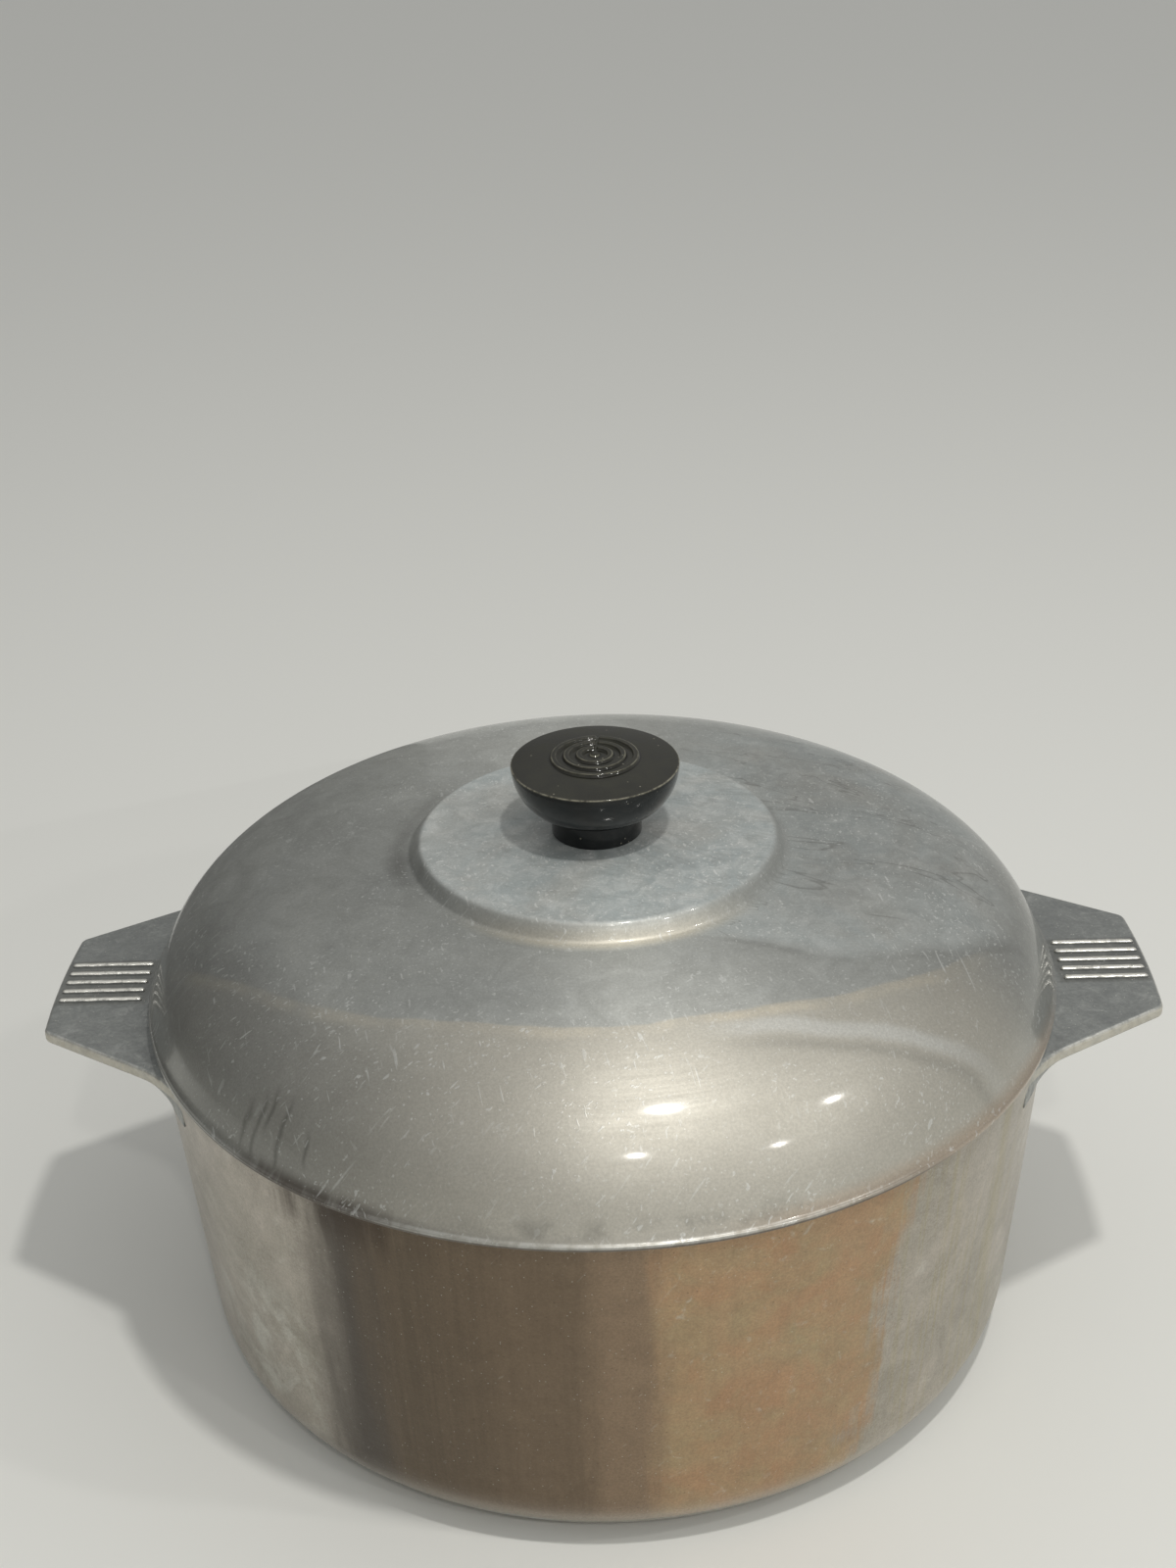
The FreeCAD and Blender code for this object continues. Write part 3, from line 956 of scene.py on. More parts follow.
@dataclass(frozen=True)
class WornLidAluminium(Dressing):
    """Buffed cast aluminium with oxide, drips and fine scratches, for the lid, with painted reflections,
    highlights and shade in its colour.
    """

    title: str = "worn_lid_aluminium"
    clean: Colour = srgb(200, 202, 198)
    cool: Colour = srgb(176, 180, 180)
    oxide: Colour = srgb(170, 180, 182)
    # Dark colour of stains and grain, also used for painted shade and painted dark reflections.
    dark_stain_and_shade: Colour = srgb(98, 97, 92)
    warm: Colour = srgb(202, 197, 185)
    # Whitish colour of lime crust, specks, scratches and worn edges, also used for a painted pale
    # reflection and a painted highlight on the lip.
    whitish: Colour = srgb(232, 234, 232)
    cream: Colour = srgb(240, 230, 208)
    tan: Colour = srgb(190, 172, 152)
    # Colour of soot and burnt stains, also used for painted shade by the lip.
    soot_and_shade: Colour = srgb(84, 74, 64)
    reflection_line_radius: float = 87.0
    reflection_line_azimuth: float = 2.0
    reflection_line_bend: float = 0.0055

    # Azimuths where a layer starts and ends, and how softly, in degrees.
    front_part: Span = (-72.0, 64.0, 9.0)
    dark_reflection_part: Span = (-78.0, -24.0, 18.0)
    pale_reflection_part: Span = (20.0, 52.0, 7.0)
    pale_reflection_edge_part: Span = (22.0, 54.0, 7.0)
    shaded_part: Span = (60.0, 150.0, 22.0)
    foot_highlight_part: Span = (-32.0, 40.0, 20.0)
    smoky_part: Span = (-125.0, -72.0, 12.0)
    floor_reflection_part: Span = (16.0, 72.0, 8.0)
    smudged_part: Span = (-14.0, 26.0, 8.0)
    burnt_part: Span = (-44.0, -24.0, 6.0)
    crusted_part: Span = (-42.0, 40.0, 8.0)
    lip_shade_part: Span = (-60.0, 40.0, 12.0)
    lip_highlight_part: Span = (-24.0, 30.0, 12.0)

    # Cloudy stains: noise scale, cover and softness.
    cloud: Span = (16.0, 0.5, 0.35)
    mist: Span = (95.0, 0.5, 0.45)
    oxide_patches: Span = (34.0, 0.60, 0.25)
    lime_crust: Span = (150.0, 0.40, 0.22)
    buffed_roughness: Marks = (0.52, 0.58)
    flank_roughness: float = 0.38
    dulled_roughness: float = 0.60
    stained_roughness: float = 0.55
    worn_roughness: float = 0.30
    bare_metallic: float = 0.93
    dulled_metallic: float = 0.35

    # Azimuth of each drip in degrees, and the heights where it ends and starts in mm.
    drip_width: float = 0.25
    drips: tuple[Span, ...] = (
        (-45.4, 111.0, 121.0),
        (-43.6, 110.0, 124.0),
        (-42.2, 118.0, 126.0),
        (-39.6, 109.0, 125.0),
        (-35.6, 114.0, 121.0),
    )

    def paint(self, m: Material) -> None:
        """Lay the finish on, from the bare metal to the dirt on it.

        Args:
            m: The material that it goes into.
        """
        g, space = m.graph, m.round_space()
        azimuth, radius, height = space["Azimuth"], space["Radius"], space["Height"]
        cloud = m.blotches(*self.cloud)
        mist = m.blotches(*self.mist)
        colour = g.tint(self.clean, self.cool, cloud, 0.45)
        colour = g.tint(colour, self.dark_stain_and_shade, mist, 0.30)

        # A painted reflection bends across the front: cool above its line, warm below it, warmest and
        # cream just under it.
        off = g.less(azimuth, self.reflection_line_azimuth)
        bend = g.times(off, off, self.reflection_line_bend)
        waver = g.times(g.less(g.noise(m.place, 24.0, 3.0), 0.5), 9.0)
        line = g.less(g.less(radius, self.reflection_line_radius), g.plus(bend, waver))
        front = g.window(azimuth, *self.front_part)
        below = g.times(g.smooth(line, -0.4, 0.5), front)
        warmth = g.smooth(azimuth, -52.0, -14.0, 0.25, 0.75)
        colour = g.tint(colour, self.warm, below, warmth)
        # Painted dark reflection low on the left of the dome.
        dark_reflection = g.times(g.window(azimuth, *self.dark_reflection_part), g.smooth(radius, 92.0, 112.0, 0.0, 0.34))
        colour = g.blend(dark_reflection, colour, self.dark_stain_and_shade)
        stronger = g.smooth(azimuth, -20.0, 25.0, 0.20, 0.42)
        patchy = g.smooth(g.noise(m.place, 55.0, 4.0), 0.38, 0.60, 0.15, 1.0)
        colour = g.tint(colour, self.cream, g.window(line, 0.3, 3.2, 1.6), front, stronger, patchy)

        # A second, paler painted reflection on the right leaves that line and drops to the lip, with a
        # darker painted edge under it.
        lead = g.most(g.less(azimuth, 15.0), 0.0)
        drop = g.times(lead, lead, 0.0215)
        sweep = g.less(g.less(radius, 94.0), g.plus(drop, waver))
        pale_reflection = g.times(g.window(sweep, -2.5, 2.2, 1.6), g.window(azimuth, *self.pale_reflection_part))
        colour = g.tint(colour, self.whitish, pale_reflection, 0.45)
        under = g.times(g.window(sweep, 4.0, 6.5, 1.8), g.window(azimuth, *self.pale_reflection_edge_part))
        colour = g.tint(colour, self.dark_stain_and_shade, under, 0.22)

        # Bluish oxide covers the raised centre, and the dome from its right side round the back.
        centre = g.smooth(radius, 49.0, 51.5, 1.0, 0.0)
        shade = g.times(g.window(azimuth, *self.shaded_part), g.smooth(radius, 53.0, 60.0, 0.0, 0.30))
        colour = g.blend(shade, colour, self.dark_stain_and_shade)
        creep = g.times(g.less(radius, 63.0), 0.75)
        ahead = g.less(g.less(azimuth, 31.5), g.plus(creep, g.times(waver, 2.0)))
        on_dome = g.times(g.smooth(ahead, -2.0, 5.0), g.smooth(radius, 108.0, 122.0, 1.0, 0.0))
        side = g.times(on_dome, g.smooth(radius, 51.0, 56.0), g.smooth(azimuth, 140.0, 172.0, 1.0, 0.0))
        dulled = g.most(centre, g.times(side, 0.55))
        patch = g.times(dulled, m.blotches(*self.oxide_patches))
        colour = g.tint(colour, self.oxide, patch, 0.75)
        crust = g.times(dulled, m.blotches(*self.lime_crust))
        colour = g.tint(colour, self.whitish, crust, 0.35)
        drawn = g.stretched(m.place, (1.0, 3.2, 1.0), (0.0, 0.0, 0.30))
        creases = g.window(g.noise(drawn, 13.0, 4.0, 0.55, 0.6), 0.500, 0.506, 0.006)
        creases = g.times(creases, g.most(g.times(centre, 0.4), side))
        shore = g.times(g.window(ahead, -1.2, -0.2, 1.6), g.window(radius, 60.0, 118.0, 6.0))
        patchy = g.smooth(g.noise(m.place, 48.0, 4.0), 0.40, 0.62, 0.15, 0.75)
        creases = g.most(creases, g.times(shore, patchy))
        colour = g.tint(colour, self.dark_stain_and_shade, creases, 0.55)
        # Painted highlight in cream at the front of the step's foot.
        foot_highlight = g.times(g.window(radius, 51.5, 55.5, 2.2), g.window(azimuth, *self.foot_highlight_part))
        colour = g.tint(colour, self.cream, foot_highlight, 0.45)
        smoke = g.times(g.window(azimuth, *self.smoky_part), g.window(radius, 54.0, 59.0, 3.0))
        colour = g.tint(colour, self.dark_stain_and_shade, smoke, g.smooth(cloud, 0.2, 0.9, 0.15, 0.55))

        # Dark drips on the left, grime above the lip, and a tan painted reflection of the floor above the
        # lip on the right.
        wobble = g.times(g.less(g.noise(m.place, 85.0, 3.0), 0.5), 2.6)
        dripping = g.plus(azimuth, wobble)
        drips: Socket | None = None
        for middle, low, high in self.drips:
            thin = g.window(dripping, middle - self.drip_width, middle + self.drip_width, 0.4)
            drip = g.times(thin, g.window(height, low, high, 3.0))
            drips = drip if drips is None else g.most(drips, drip)
        floor_reflection_band = g.times(g.smooth(height, 108.2, 113.5, 1.0, 0.0), g.window(azimuth, *self.floor_reflection_part))
        colour = g.tint(colour, self.tan, floor_reflection_band, 0.75)
        above_lip = g.times(g.window(height, 108.5, 113.5, 2.5), g.window(azimuth, *self.smudged_part))
        smudge = g.times(above_lip, g.smooth(m.runs(space, 11.0, 14.0), 0.44, 0.62))
        seam = g.times(g.smooth(height, 108.0, 112.5, 1.0, 0.0), g.window(azimuth, *self.burnt_part))
        burnt = g.times(seam, g.smooth(m.runs(space, 20.0, 20.0), 0.34, 0.55))
        crust_line = g.times(g.window(height, 106.5, 109.6, 1.2), g.window(azimuth, *self.crusted_part))
        smudge = g.most(smudge, crust_line)
        # Painted shade on the foot of the lip at the front, so that only its upper edge looks lit.
        lip_foot_shade = g.times(g.smooth(height, 107.7, 108.2, 1.0, 0.0), g.window(azimuth, *self.lip_shade_part))
        stain = g.most(g.times(drips, 0.75), g.times(smudge, 0.45))
        colour = g.tint(colour, self.dark_stain_and_shade, stain, 0.8)
        colour = g.tint(colour, self.soot_and_shade, burnt, 0.8)

        colour, marked = m.worn_in(
            colour, self.whitish, self.dark_stain_and_shade, fine=(290.0, 0.75), long=(110.0, 0.42), depth=(0.55, 0.15)
        )
        colour = g.tint(colour, self.whitish, m.specks(DUST_SCALE, 0.05), 0.5)
        # The worn edges are paler on the lip's front, where that pale edge is also a painted highlight.
        lip_wear_and_highlight = g.between(g.window(azimuth, *self.lip_highlight_part), 0.05, 0.40)
        worn = g.times(m.edge_wear(240.0), lip_wear_and_highlight)
        colour = g.blend(worn, colour, self.whitish)
        colour = g.tint(colour, self.soot_and_shade, lip_foot_shade, 0.80)

        marks = m.turning(space, 2.2)
        flank = g.smooth(g.maths("ABSOLUTE", azimuth), 45.0, 64.0)
        low_flank = g.times(flank, g.smooth(height, 114.0, 128.0, 1.0, 0.0))
        rough = m.layered(
            g.between(cloud, *self.buffed_roughness),
            (low_flank, self.flank_roughness),
            (dulled, self.dulled_roughness),
            (stain, self.stained_roughness),
            (worn, self.worn_roughness),
        )
        rough = g.maths("ADD", rough, g.smooth(marks, 0.3, 0.7, *MARK_ROUGHNESS), clamp=True)
        metallic = g.between(dulled, self.bare_metallic, self.dulled_metallic)
        relief = m.relief(
            (g.noise(m.place, 26.0, 2.0, 0.4), 0.0012, 0.35),
            (marks, 0.00004, 0.6),
            (marked, 0.00003, 0.5),
            (m.blotches(*CASTING_SKIN), 0.00003, 0.4),
        )
        gloss = {"Anisotropic": 0.60, "Coat_Weight": 0.65, "Coat_Roughness": 0.10}
        m.finish(colour, rough, metallic, relief, Anisotropic_Rotation=UPRIGHT_STREAK, **gloss)


@dataclass(frozen=True)
class HeatStainAndPaintedReflection(Dressing):
    """Cast aluminium for the pot, browned on its front partly by heat and partly by painted reflections,
    mottled and run elsewhere, with painted shade under the lid's lip and a painted reflection of the
    floor low on the wall.
    """

    title: str = "heat_stain_and_painted_reflection"
    clean: Colour = srgb(202, 194, 183)
    mottle: Colour = srgb(168, 164, 151)
    slate: Colour = srgb(82, 76, 69)
    umber: Colour = srgb(100, 87, 70)
    brown: Colour = srgb(150, 129, 106)
    tan: Colour = srgb(190, 162, 127)
    red_tan: Colour = srgb(192, 146, 110)
    straw: Colour = srgb(176, 166, 130)
    whitish: Colour = srgb(226, 228, 220)
    # Colour of soot, burnt stains and grain, also used for painted shade under the lid's lip.
    soot_and_shade: Colour = srgb(72, 60, 50)
    inside: Colour = srgb(178, 178, 174)
    wall_taper: float = field(kw_only=True)
    mid_wall: float = field(kw_only=True)

    # Azimuths where a layer starts and ends, and how softly, in degrees.
    chalky_part: Span = (-60.0, -40.0, 6.0)
    run_part: Span = (34.0, 66.0, 8.0)
    burnt_part: Span = (-42.0, -22.0, 5.0)

    # Cloudy stains: noise scale, cover and softness.
    cloud: Span = (22.0, 0.5, 0.30)
    mist: Span = (110.0, 0.5, 0.40)
    left_chalk: Span = (75.0, 0.44, 0.14)
    thin_chalk: Span = (60.0, 0.22, 0.10)
    red_cloud: Span = (42.0, 0.46, 0.35)
    straw_cloud: Span = (58.0, 0.36, 0.28)
    red_patches: Span = (85.0, 0.30, 0.18)
    lime_flecks: Span = (230.0, 0.18, 0.12)

    bare_roughness: Marks = (0.34, 0.44)
    browned_roughness: float = 0.38
    burnt_roughness: float = 0.55
    cavity_roughness: float = 0.45
    bare_metallic: float = 0.93
    browned_metallic: float = 0.85

    def paint(self, m: Material) -> None:
        """Lay the finish on, from the bare metal to the dirt on it.

        Args:
            m: The material that it goes into.
        """
        g, space = m.graph, m.round_space()
        azimuth, radius, height = space["Azimuth"], space["Radius"], space["Height"]

        run = m.runs(space, 17.0, 70.0)
        fine_run = m.runs(space, 75.0, 50.0)
        cloud = m.blotches(*self.cloud)
        mist = m.blotches(*self.mist)
        colour = g.tint(self.clean, self.mottle, cloud, 0.7)
        colour = g.tint(colour, self.slate, mist, 0.26)
        left_foot = g.times(g.window(azimuth, *self.chalky_part), g.window(height, 10.0, 62.0, 14.0))
        chalky = g.times(left_foot, m.blotches(*self.left_chalk))
        chalk = g.most(chalky, g.times(m.blotches(*self.thin_chalk), 0.5))
        colour = g.tint(colour, self.whitish, chalk, 0.45)

        # Azimuth pushed to and fro by the runs, so each stain and painted reflection ends in an uneven
        # upright edge.
        push = g.less(run, 0.5)
        fine_push = g.less(fine_run, 0.5)
        soft_azimuth = g.plus(azimuth, g.times(push, 6.0))
        rough_edge = g.times(g.less(g.noise(m.place, 70.0, 6.0, 0.6), 0.5), 11.0)
        ragged = g.plus(soft_azimuth, g.plus(rough_edge, g.times(fine_push, 7.0)))

        brown_streak = g.smooth(fine_run, 0.36, 0.64)
        umber = g.tint(self.umber, self.brown, brown_streak, 0.12)
        umber = g.blend(g.smooth(soft_azimuth, -24.0, -8.0, 0.0, 0.35), umber, self.brown)
        tan = g.tint(self.tan, self.red_tan, m.blotches(*self.red_cloud), 0.6)
        tan = g.tint(tan, self.straw, m.blotches(*self.straw_cloud), 0.6)
        tan = g.tint(tan, self.brown, brown_streak, 0.12)
        tan = g.tint(tan, self.red_tan, m.blotches(*self.red_patches), 0.45)
        tan = g.tint(tan, self.whitish, m.blotches(*self.lime_flecks), 0.30)
        # The browned band is partly heat stain and partly painted reflection: slate, umber, brown and tan
        # meet at set azimuths, as the dark and warm surroundings reflected in the wall do.
        browned = g.blend(g.smooth(soft_azimuth, -32.0, -25.0), self.slate, umber)
        browned = g.blend(g.smooth(soft_azimuth, -4.0, 1.0), browned, self.brown)
        browned = g.blend(g.smooth(soft_azimuth, 4.0, 8.0), browned, tan)
        browned = g.tint(browned, self.soot_and_shade, mist, 0.20)
        left_end = g.smooth(g.plus(soft_azimuth, g.times(height, -0.03)), -43.0, -33.0)
        leaning = g.less(ragged, g.times(height, 0.06))
        right_end = g.smooth(leaning, 28.0, 33.0, 1.0, 0.0)
        cover = g.times(left_end, right_end, g.smooth(height, 0.6, 2.6))
        bottom = g.smooth(height, 0.1, 0.6, 1.0, 0.0)
        scorched = g.tint(self.brown, self.slate, cloud, 0.6)
        colour = g.tint(colour, scorched, bottom, 0.7)
        colour = g.tint(colour, browned, cover, 0.97)
        # Painted reflection of the bright floor: the lower wall and its rounded corner are turned towards
        # the bare metal.
        corner = g.times(g.smooth(height, 4.0, 20.0, 1.0, 0.0), g.smooth(height, 0.6, 2.0))
        colour = g.tint(colour, self.clean, corner, 0.38)

        # Tan runs past the right end of the stain, one of them long.
        past = g.window(azimuth, *self.run_part)
        loose = g.times(past, g.smooth(fine_run, 0.50, 0.62))
        long_run = g.window(g.plus(azimuth, g.times(push, 10.0)), 54.6, 57.2, 1.4)
        loose = g.most(g.times(loose, 0.5), g.times(long_run, 0.75))
        colour = g.tint(colour, self.straw, loose, 0.7)

        # Burnt food along the seam on the left, soot at the foot, and painted shade on the wall just
        # under the lid's lip.
        seam = g.times(g.window(azimuth, *self.burnt_part), g.smooth(height, 90.0, 105.0))
        burnt = g.times(seam, g.smooth(run, 0.36, 0.55))
        foot = g.times(g.smooth(height, 2.0, 7.0, 1.0, 0.0), g.smooth(radius, 90.0, 104.0))
        shade_under_lip = g.times(g.smooth(height, 100.0, 106.0), 0.22)
        burnt = g.most(burnt, g.most(g.times(foot, 0.1), shade_under_lip))
        colour = g.tint(colour, self.soot_and_shade, burnt, 0.6)
        # Painted reflection of the bright floor, paling the lower wall further.
        lower_wall_reflection = g.times(g.smooth(height, 5.0, 15.0, 1.0, 0.0), g.smooth(radius, 92.0, 104.0, 0.3, 0.8))
        colour = g.blend(lower_wall_reflection, colour, self.clean)

        # The cavity is cleaner, greyer and etched below an old water line.
        middle = g.plus(g.times(height, self.wall_taper), self.mid_wall)
        inward = g.maths("LESS_THAN", radius, middle)
        cavity = g.times(inward, g.smooth(height, 2.0, 4.0))
        colour = g.blend(cavity, colour, g.blend(cloud, self.inside, self.mottle))
        water = g.times(cavity, g.window(height, 58.0, 62.0, 3.0))
        colour = g.tint(colour, self.slate, water, 0.5)

        colour, marked = m.worn_in(
            colour, self.whitish, self.soot_and_shade, fine=(330.0, 0.45), long=(120.0, 0.15), depth=(0.13, 0.20)
        )
        colour = g.tint(colour, self.whitish, m.specks(DUST_SCALE, 0.05), 0.35)
        colour = g.tint(colour, self.soot_and_shade, m.specks(PIT_SCALE, 0.06), 0.35)
        worn = m.edge_wear(240.0)
        colour = g.blend(worn, colour, self.whitish)

        marks = m.turning(space, 1.5)
        rough = m.layered(
            g.between(cloud, *self.bare_roughness),
            (cover, self.browned_roughness),
            (burnt, self.burnt_roughness),
            (cavity, self.cavity_roughness),
        )
        rough = g.maths("ADD", rough, g.smooth(marks, 0.3, 0.7, *MARK_ROUGHNESS), clamp=True)
        metallic = g.between(cover, self.bare_metallic, self.browned_metallic)
        relief = m.relief(
            (g.noise(m.place, 20.0, 2.0, 0.4), 0.0012, 0.3),
            (marks, 0.00004, 0.6),
            (m.blotches(*CASTING_SKIN), 0.00006, 0.7),
            (marked, 0.00002, 0.4),
        )
        gloss = {"Anisotropic": 0.40, "Coat_Weight": 0.20, "Coat_Roughness": 0.16}
        m.finish(colour, rough, metallic, relief, Anisotropic_Rotation=UPRIGHT_STREAK, **gloss)


@dataclass(frozen=True)
class RoughCasting(Dressing):
    """As-cast aluminium of the handles, dull and grained, bright where hands have polished it, with a
    painted reflection of the floor on the plate's side faces.
    """

    title: str = "rough_casting"
    skin: Colour = srgb(166, 169, 167)
    dark: Colour = srgb(120, 123, 124)
    pale: Colour = srgb(196, 198, 196)
    bright: Colour = srgb(246, 245, 238)
    groove: Colour = srgb(84, 82, 76)
    side: Colour = srgb(208, 202, 187)
    rib_band: float = 12.0
    rib_start: float = 131.5
    rib_end: float = 158.0

    # Cloudy stains: noise scale, cover and softness.
    cloud: Span = (55.0, 0.5, 0.30)
    mist: Span = (230.0, 0.5, 0.35)
    pale_patches: Span = (120.0, 0.25, 0.15)

    cast_roughness: Marks = (0.52, 0.64)
    worn_roughness: float = 0.30
    cast_metallic: float = 0.70
    worn_metallic: float = 0.92

    def paint(self, m: Material) -> None:
        """Lay the finish on, from the cast skin to its polished high spots.

        Args:
            m: The material that it goes into.
        """
        g = m.graph
        cloud = m.blotches(*self.cloud)
        mist = m.blotches(*self.mist)
        grain = g.noise(m.place, 1100.0, 4.0, 0.65)
        colour = g.tint(self.skin, self.dark, cloud, 0.55)
        colour = g.tint(colour, self.dark, mist, 0.35)
        colour = g.tint(colour, self.pale, m.blotches(*self.pale_patches), 0.45)
        colour = g.blend(g.smooth(grain, 0.35, 0.65, 0.0, 0.35), colour, self.dark)

        # Darker between the ribs.
        axes = g.add("SeparateXYZ", {0: m.place}).outputs
        height = g.times(axes[2], TO_MM)
        out = g.times(g.maths("ABSOLUTE", axes[0]), TO_MM)
        across = g.times(g.maths("ABSOLUTE", axes[1]), TO_MM)
        among = g.smooth(across, self.rib_band - 1.0, self.rib_band + 0.6, 1.0, 0.0)
        on_top = g.smooth(axes[2], 0.1025, 0.1030)
        groove_dark = g.times(g.window(out, self.rib_start, self.rib_end, 0.8), among, on_top)
        colour = g.tint(colour, self.groove, groove_dark, 0.35)

        nicks = m.specks(1400.0, 0.07)
        colour = g.tint(colour, self.bright, nicks, 0.5)
        # The plate's side faces turn paler and warmer: a painted reflection of the bright floor, mottled.
        beyond = g.smooth(out, 112.0, 118.0)
        flank = g.times(g.window(height, 99.9, 102.7, 0.35), beyond)
        stained_and_reflected = g.tint(self.side, self.skin, mist, 0.45)
        colour = g.tint(colour, stained_and_reflected, flank, 0.85)
        worn = m.edge_wear(420.0)
        colour = g.blend(worn, colour, self.bright)
        rough = m.layered(g.between(cloud, *self.cast_roughness), (worn, self.worn_roughness))
        metallic = g.between(worn, self.cast_metallic, self.worn_metallic)
        waves = g.noise(m.place, 160.0, 3.0, 0.5)
        relief = m.relief((waves, 0.0005, 0.6), (mist, 0.00012, 0.7), (grain, 0.00022, 0.7))
        m.finish(colour, rough, metallic, relief)


@dataclass(frozen=True)
class AgedPhenolic(Dressing):
    """Near-black moulded phenolic, browned and dusty on top and pale where its edges are chipped, with
    painted shade and highlights on its rings.
    """

    title: str = "aged_phenolic"
    black: Colour = srgb(17, 20, 21)
    brown: Colour = srgb(29, 29, 22)
    dust: Colour = srgb(84, 84, 66)
    chipped: Colour = srgb(170, 166, 148)
    groove_dark: Colour = srgb(9, 9, 7)
    # Colour of the painted highlight on the rings' shoulders.
    polished: Colour = srgb(118, 116, 100)
    bowl_roughness: float = 0.24
    top_roughness: float = 0.33
    dusty_roughness: float = 0.52
    worn_roughness: float = 0.45
    ring_edges: tuple[float, ...] = (12.35, 8.75, 5.2, 1.6)

    def paint(self, m: Material) -> None:
        """Lay the finish on, from the moulding to the dust and chips on it.

        Args:
            m: The material that it goes into.
        """
        g, space = m.graph, m.round_space()
        height, radius = space["Height"], space["Radius"]
        top = g.smooth(height, 170.9, 171.8)
        colour = g.blend(top, self.black, self.brown)
        film = g.times(m.blotches(110.0, 0.40, 0.30), top)
        colour = g.tint(colour, self.dust, film, 0.14)

        # Painted shade in the corners outside the rings and the pip, and a painted highlight on their
        # shoulders.
        broken = g.smooth(g.noise(m.place, 260.0, 3.0), 0.40, 0.60, 0.25, 1.0)
        for edge in self.ring_edges:
            corner = g.times(g.window(radius, edge + 0.15, edge + 0.55, 0.18), top)
            colour = g.tint(colour, self.groove_dark, corner, 0.85)
            shoulder = g.times(g.window(radius, edge - 0.42, edge - 0.22, 0.14), top)
            colour = g.tint(colour, self.polished, shoulder, broken)
        worn = m.edge_wear(620.0)
        colour = g.blend(worn, colour, self.chipped)
        scratch = m.scratches(600.0, 0.5)
        colour = g.tint(colour, self.dust, scratch, 0.15)
        colour = g.tint(colour, self.chipped, m.specks(PIT_SCALE, 0.04), 0.5)
        sides_and_top = g.between(top, self.bowl_roughness, self.top_roughness)
        rough = m.layered(sides_and_top, (film, self.dusty_roughness), (worn, self.worn_roughness))
        relief = m.relief((g.noise(m.place, 600.0, 4.0, 0.6), 0.00005, 0.5), (scratch, 0.00003, 0.4))
        gloss = {"Specular_IOR_Level": 0.12, "Coat_Weight": 0.7, "Coat_Roughness": 0.07}
        m.finish(colour, rough, 0.0, relief, **gloss)


@dataclass(frozen=True)
class SmallMetal(Dressing):
    """Turned small parts: brass of the insert or plated steel of the screw and washer."""

    clean: Colour
    tarnish: Colour
    roughness: float

    def paint(self, m: Material) -> None:
        """Lay the finish on: clouds of tarnish over turned metal.

        Args:
            m: The material that it goes into.
        """
        g, space = m.graph, m.round_space()
        cloud = m.blotches(260.0, 0.45, 0.30)
        marks = m.turning(space, 6.0)
        colour = g.tint(self.clean, self.tarnish, cloud, 0.7)
        colour = g.tint(colour, self.tarnish, m.specks(1500.0, 0.08), 0.6)
        rough = g.between(cloud, self.roughness, self.roughness + 0.18)
        relief = m.relief((marks, 0.00003, 0.6))
        m.finish(colour, rough, 1.0, relief)


# ---------------------------------------------------------------------------------------------
# The pieces
# ---------------------------------------------------------------------------------------------


@dataclass
class Pot:
    """The pot's body: flat base, rounded corner, tapered wall, rounded rim and cavity."""

    height: float = top_of("pot")
    rim_radius: float = 128.5
    base_radius: float = 120.1
    corner_radius: float = 17.5
    wall: float = 4.0
    floor: float = 4.5
    inner_corner: float = 14.0
    rim_rounding: float = 0.7
    rim_wear: float = 0.8
    unevenness: float = 0.25
    segments: int = 384

    def wall_radius(self, height: float) -> float:
        """Radius of the tapered outer wall at a height."""
        return self.base_radius + (self.rim_radius - self.base_radius) * height / self.height

    def taper(self) -> float:
        """How far the wall leans out over each mm of its height."""
        return (self.rim_radius - self.base_radius) / self.height

    def mid_wall(self) -> float:
        """Radius of the middle of the wall's thickness, carried down to the base."""
        return self.base_radius - self.wall / 2

    def build(self) -> bpy.types.Object:
        """Turn the pot's profile from the base, up the wall, over the rim and down the cavity.

        Returns:
            The pot's body.
        """
        inner_base = self.wall_radius(self.floor) - self.wall
        inner_rim = self.rim_radius - self.wall
        profile = rounded_profile(
            [
                (0.0, 0.0, 0.0),
                (self.base_radius, 0.0, self.corner_radius),
                (self.rim_radius, self.height, self.rim_rounding),
                (inner_rim, self.height, self.rim_rounding),
                (inner_base, self.floor, self.inner_corner),
                (0.0, self.floor, 0.0),
            ],
            arc_points=12,
        )
        wear = np.where(profile[:, 1] > self.height - 0.8, self.rim_wear, 0.0)
        surface = turned(profile, self.segments, wear)
        settle(surface, self.unevenness, 1.3)
        return surface.piece("pot_body", Body.POT, Finish.POT_CASTING, "pot")


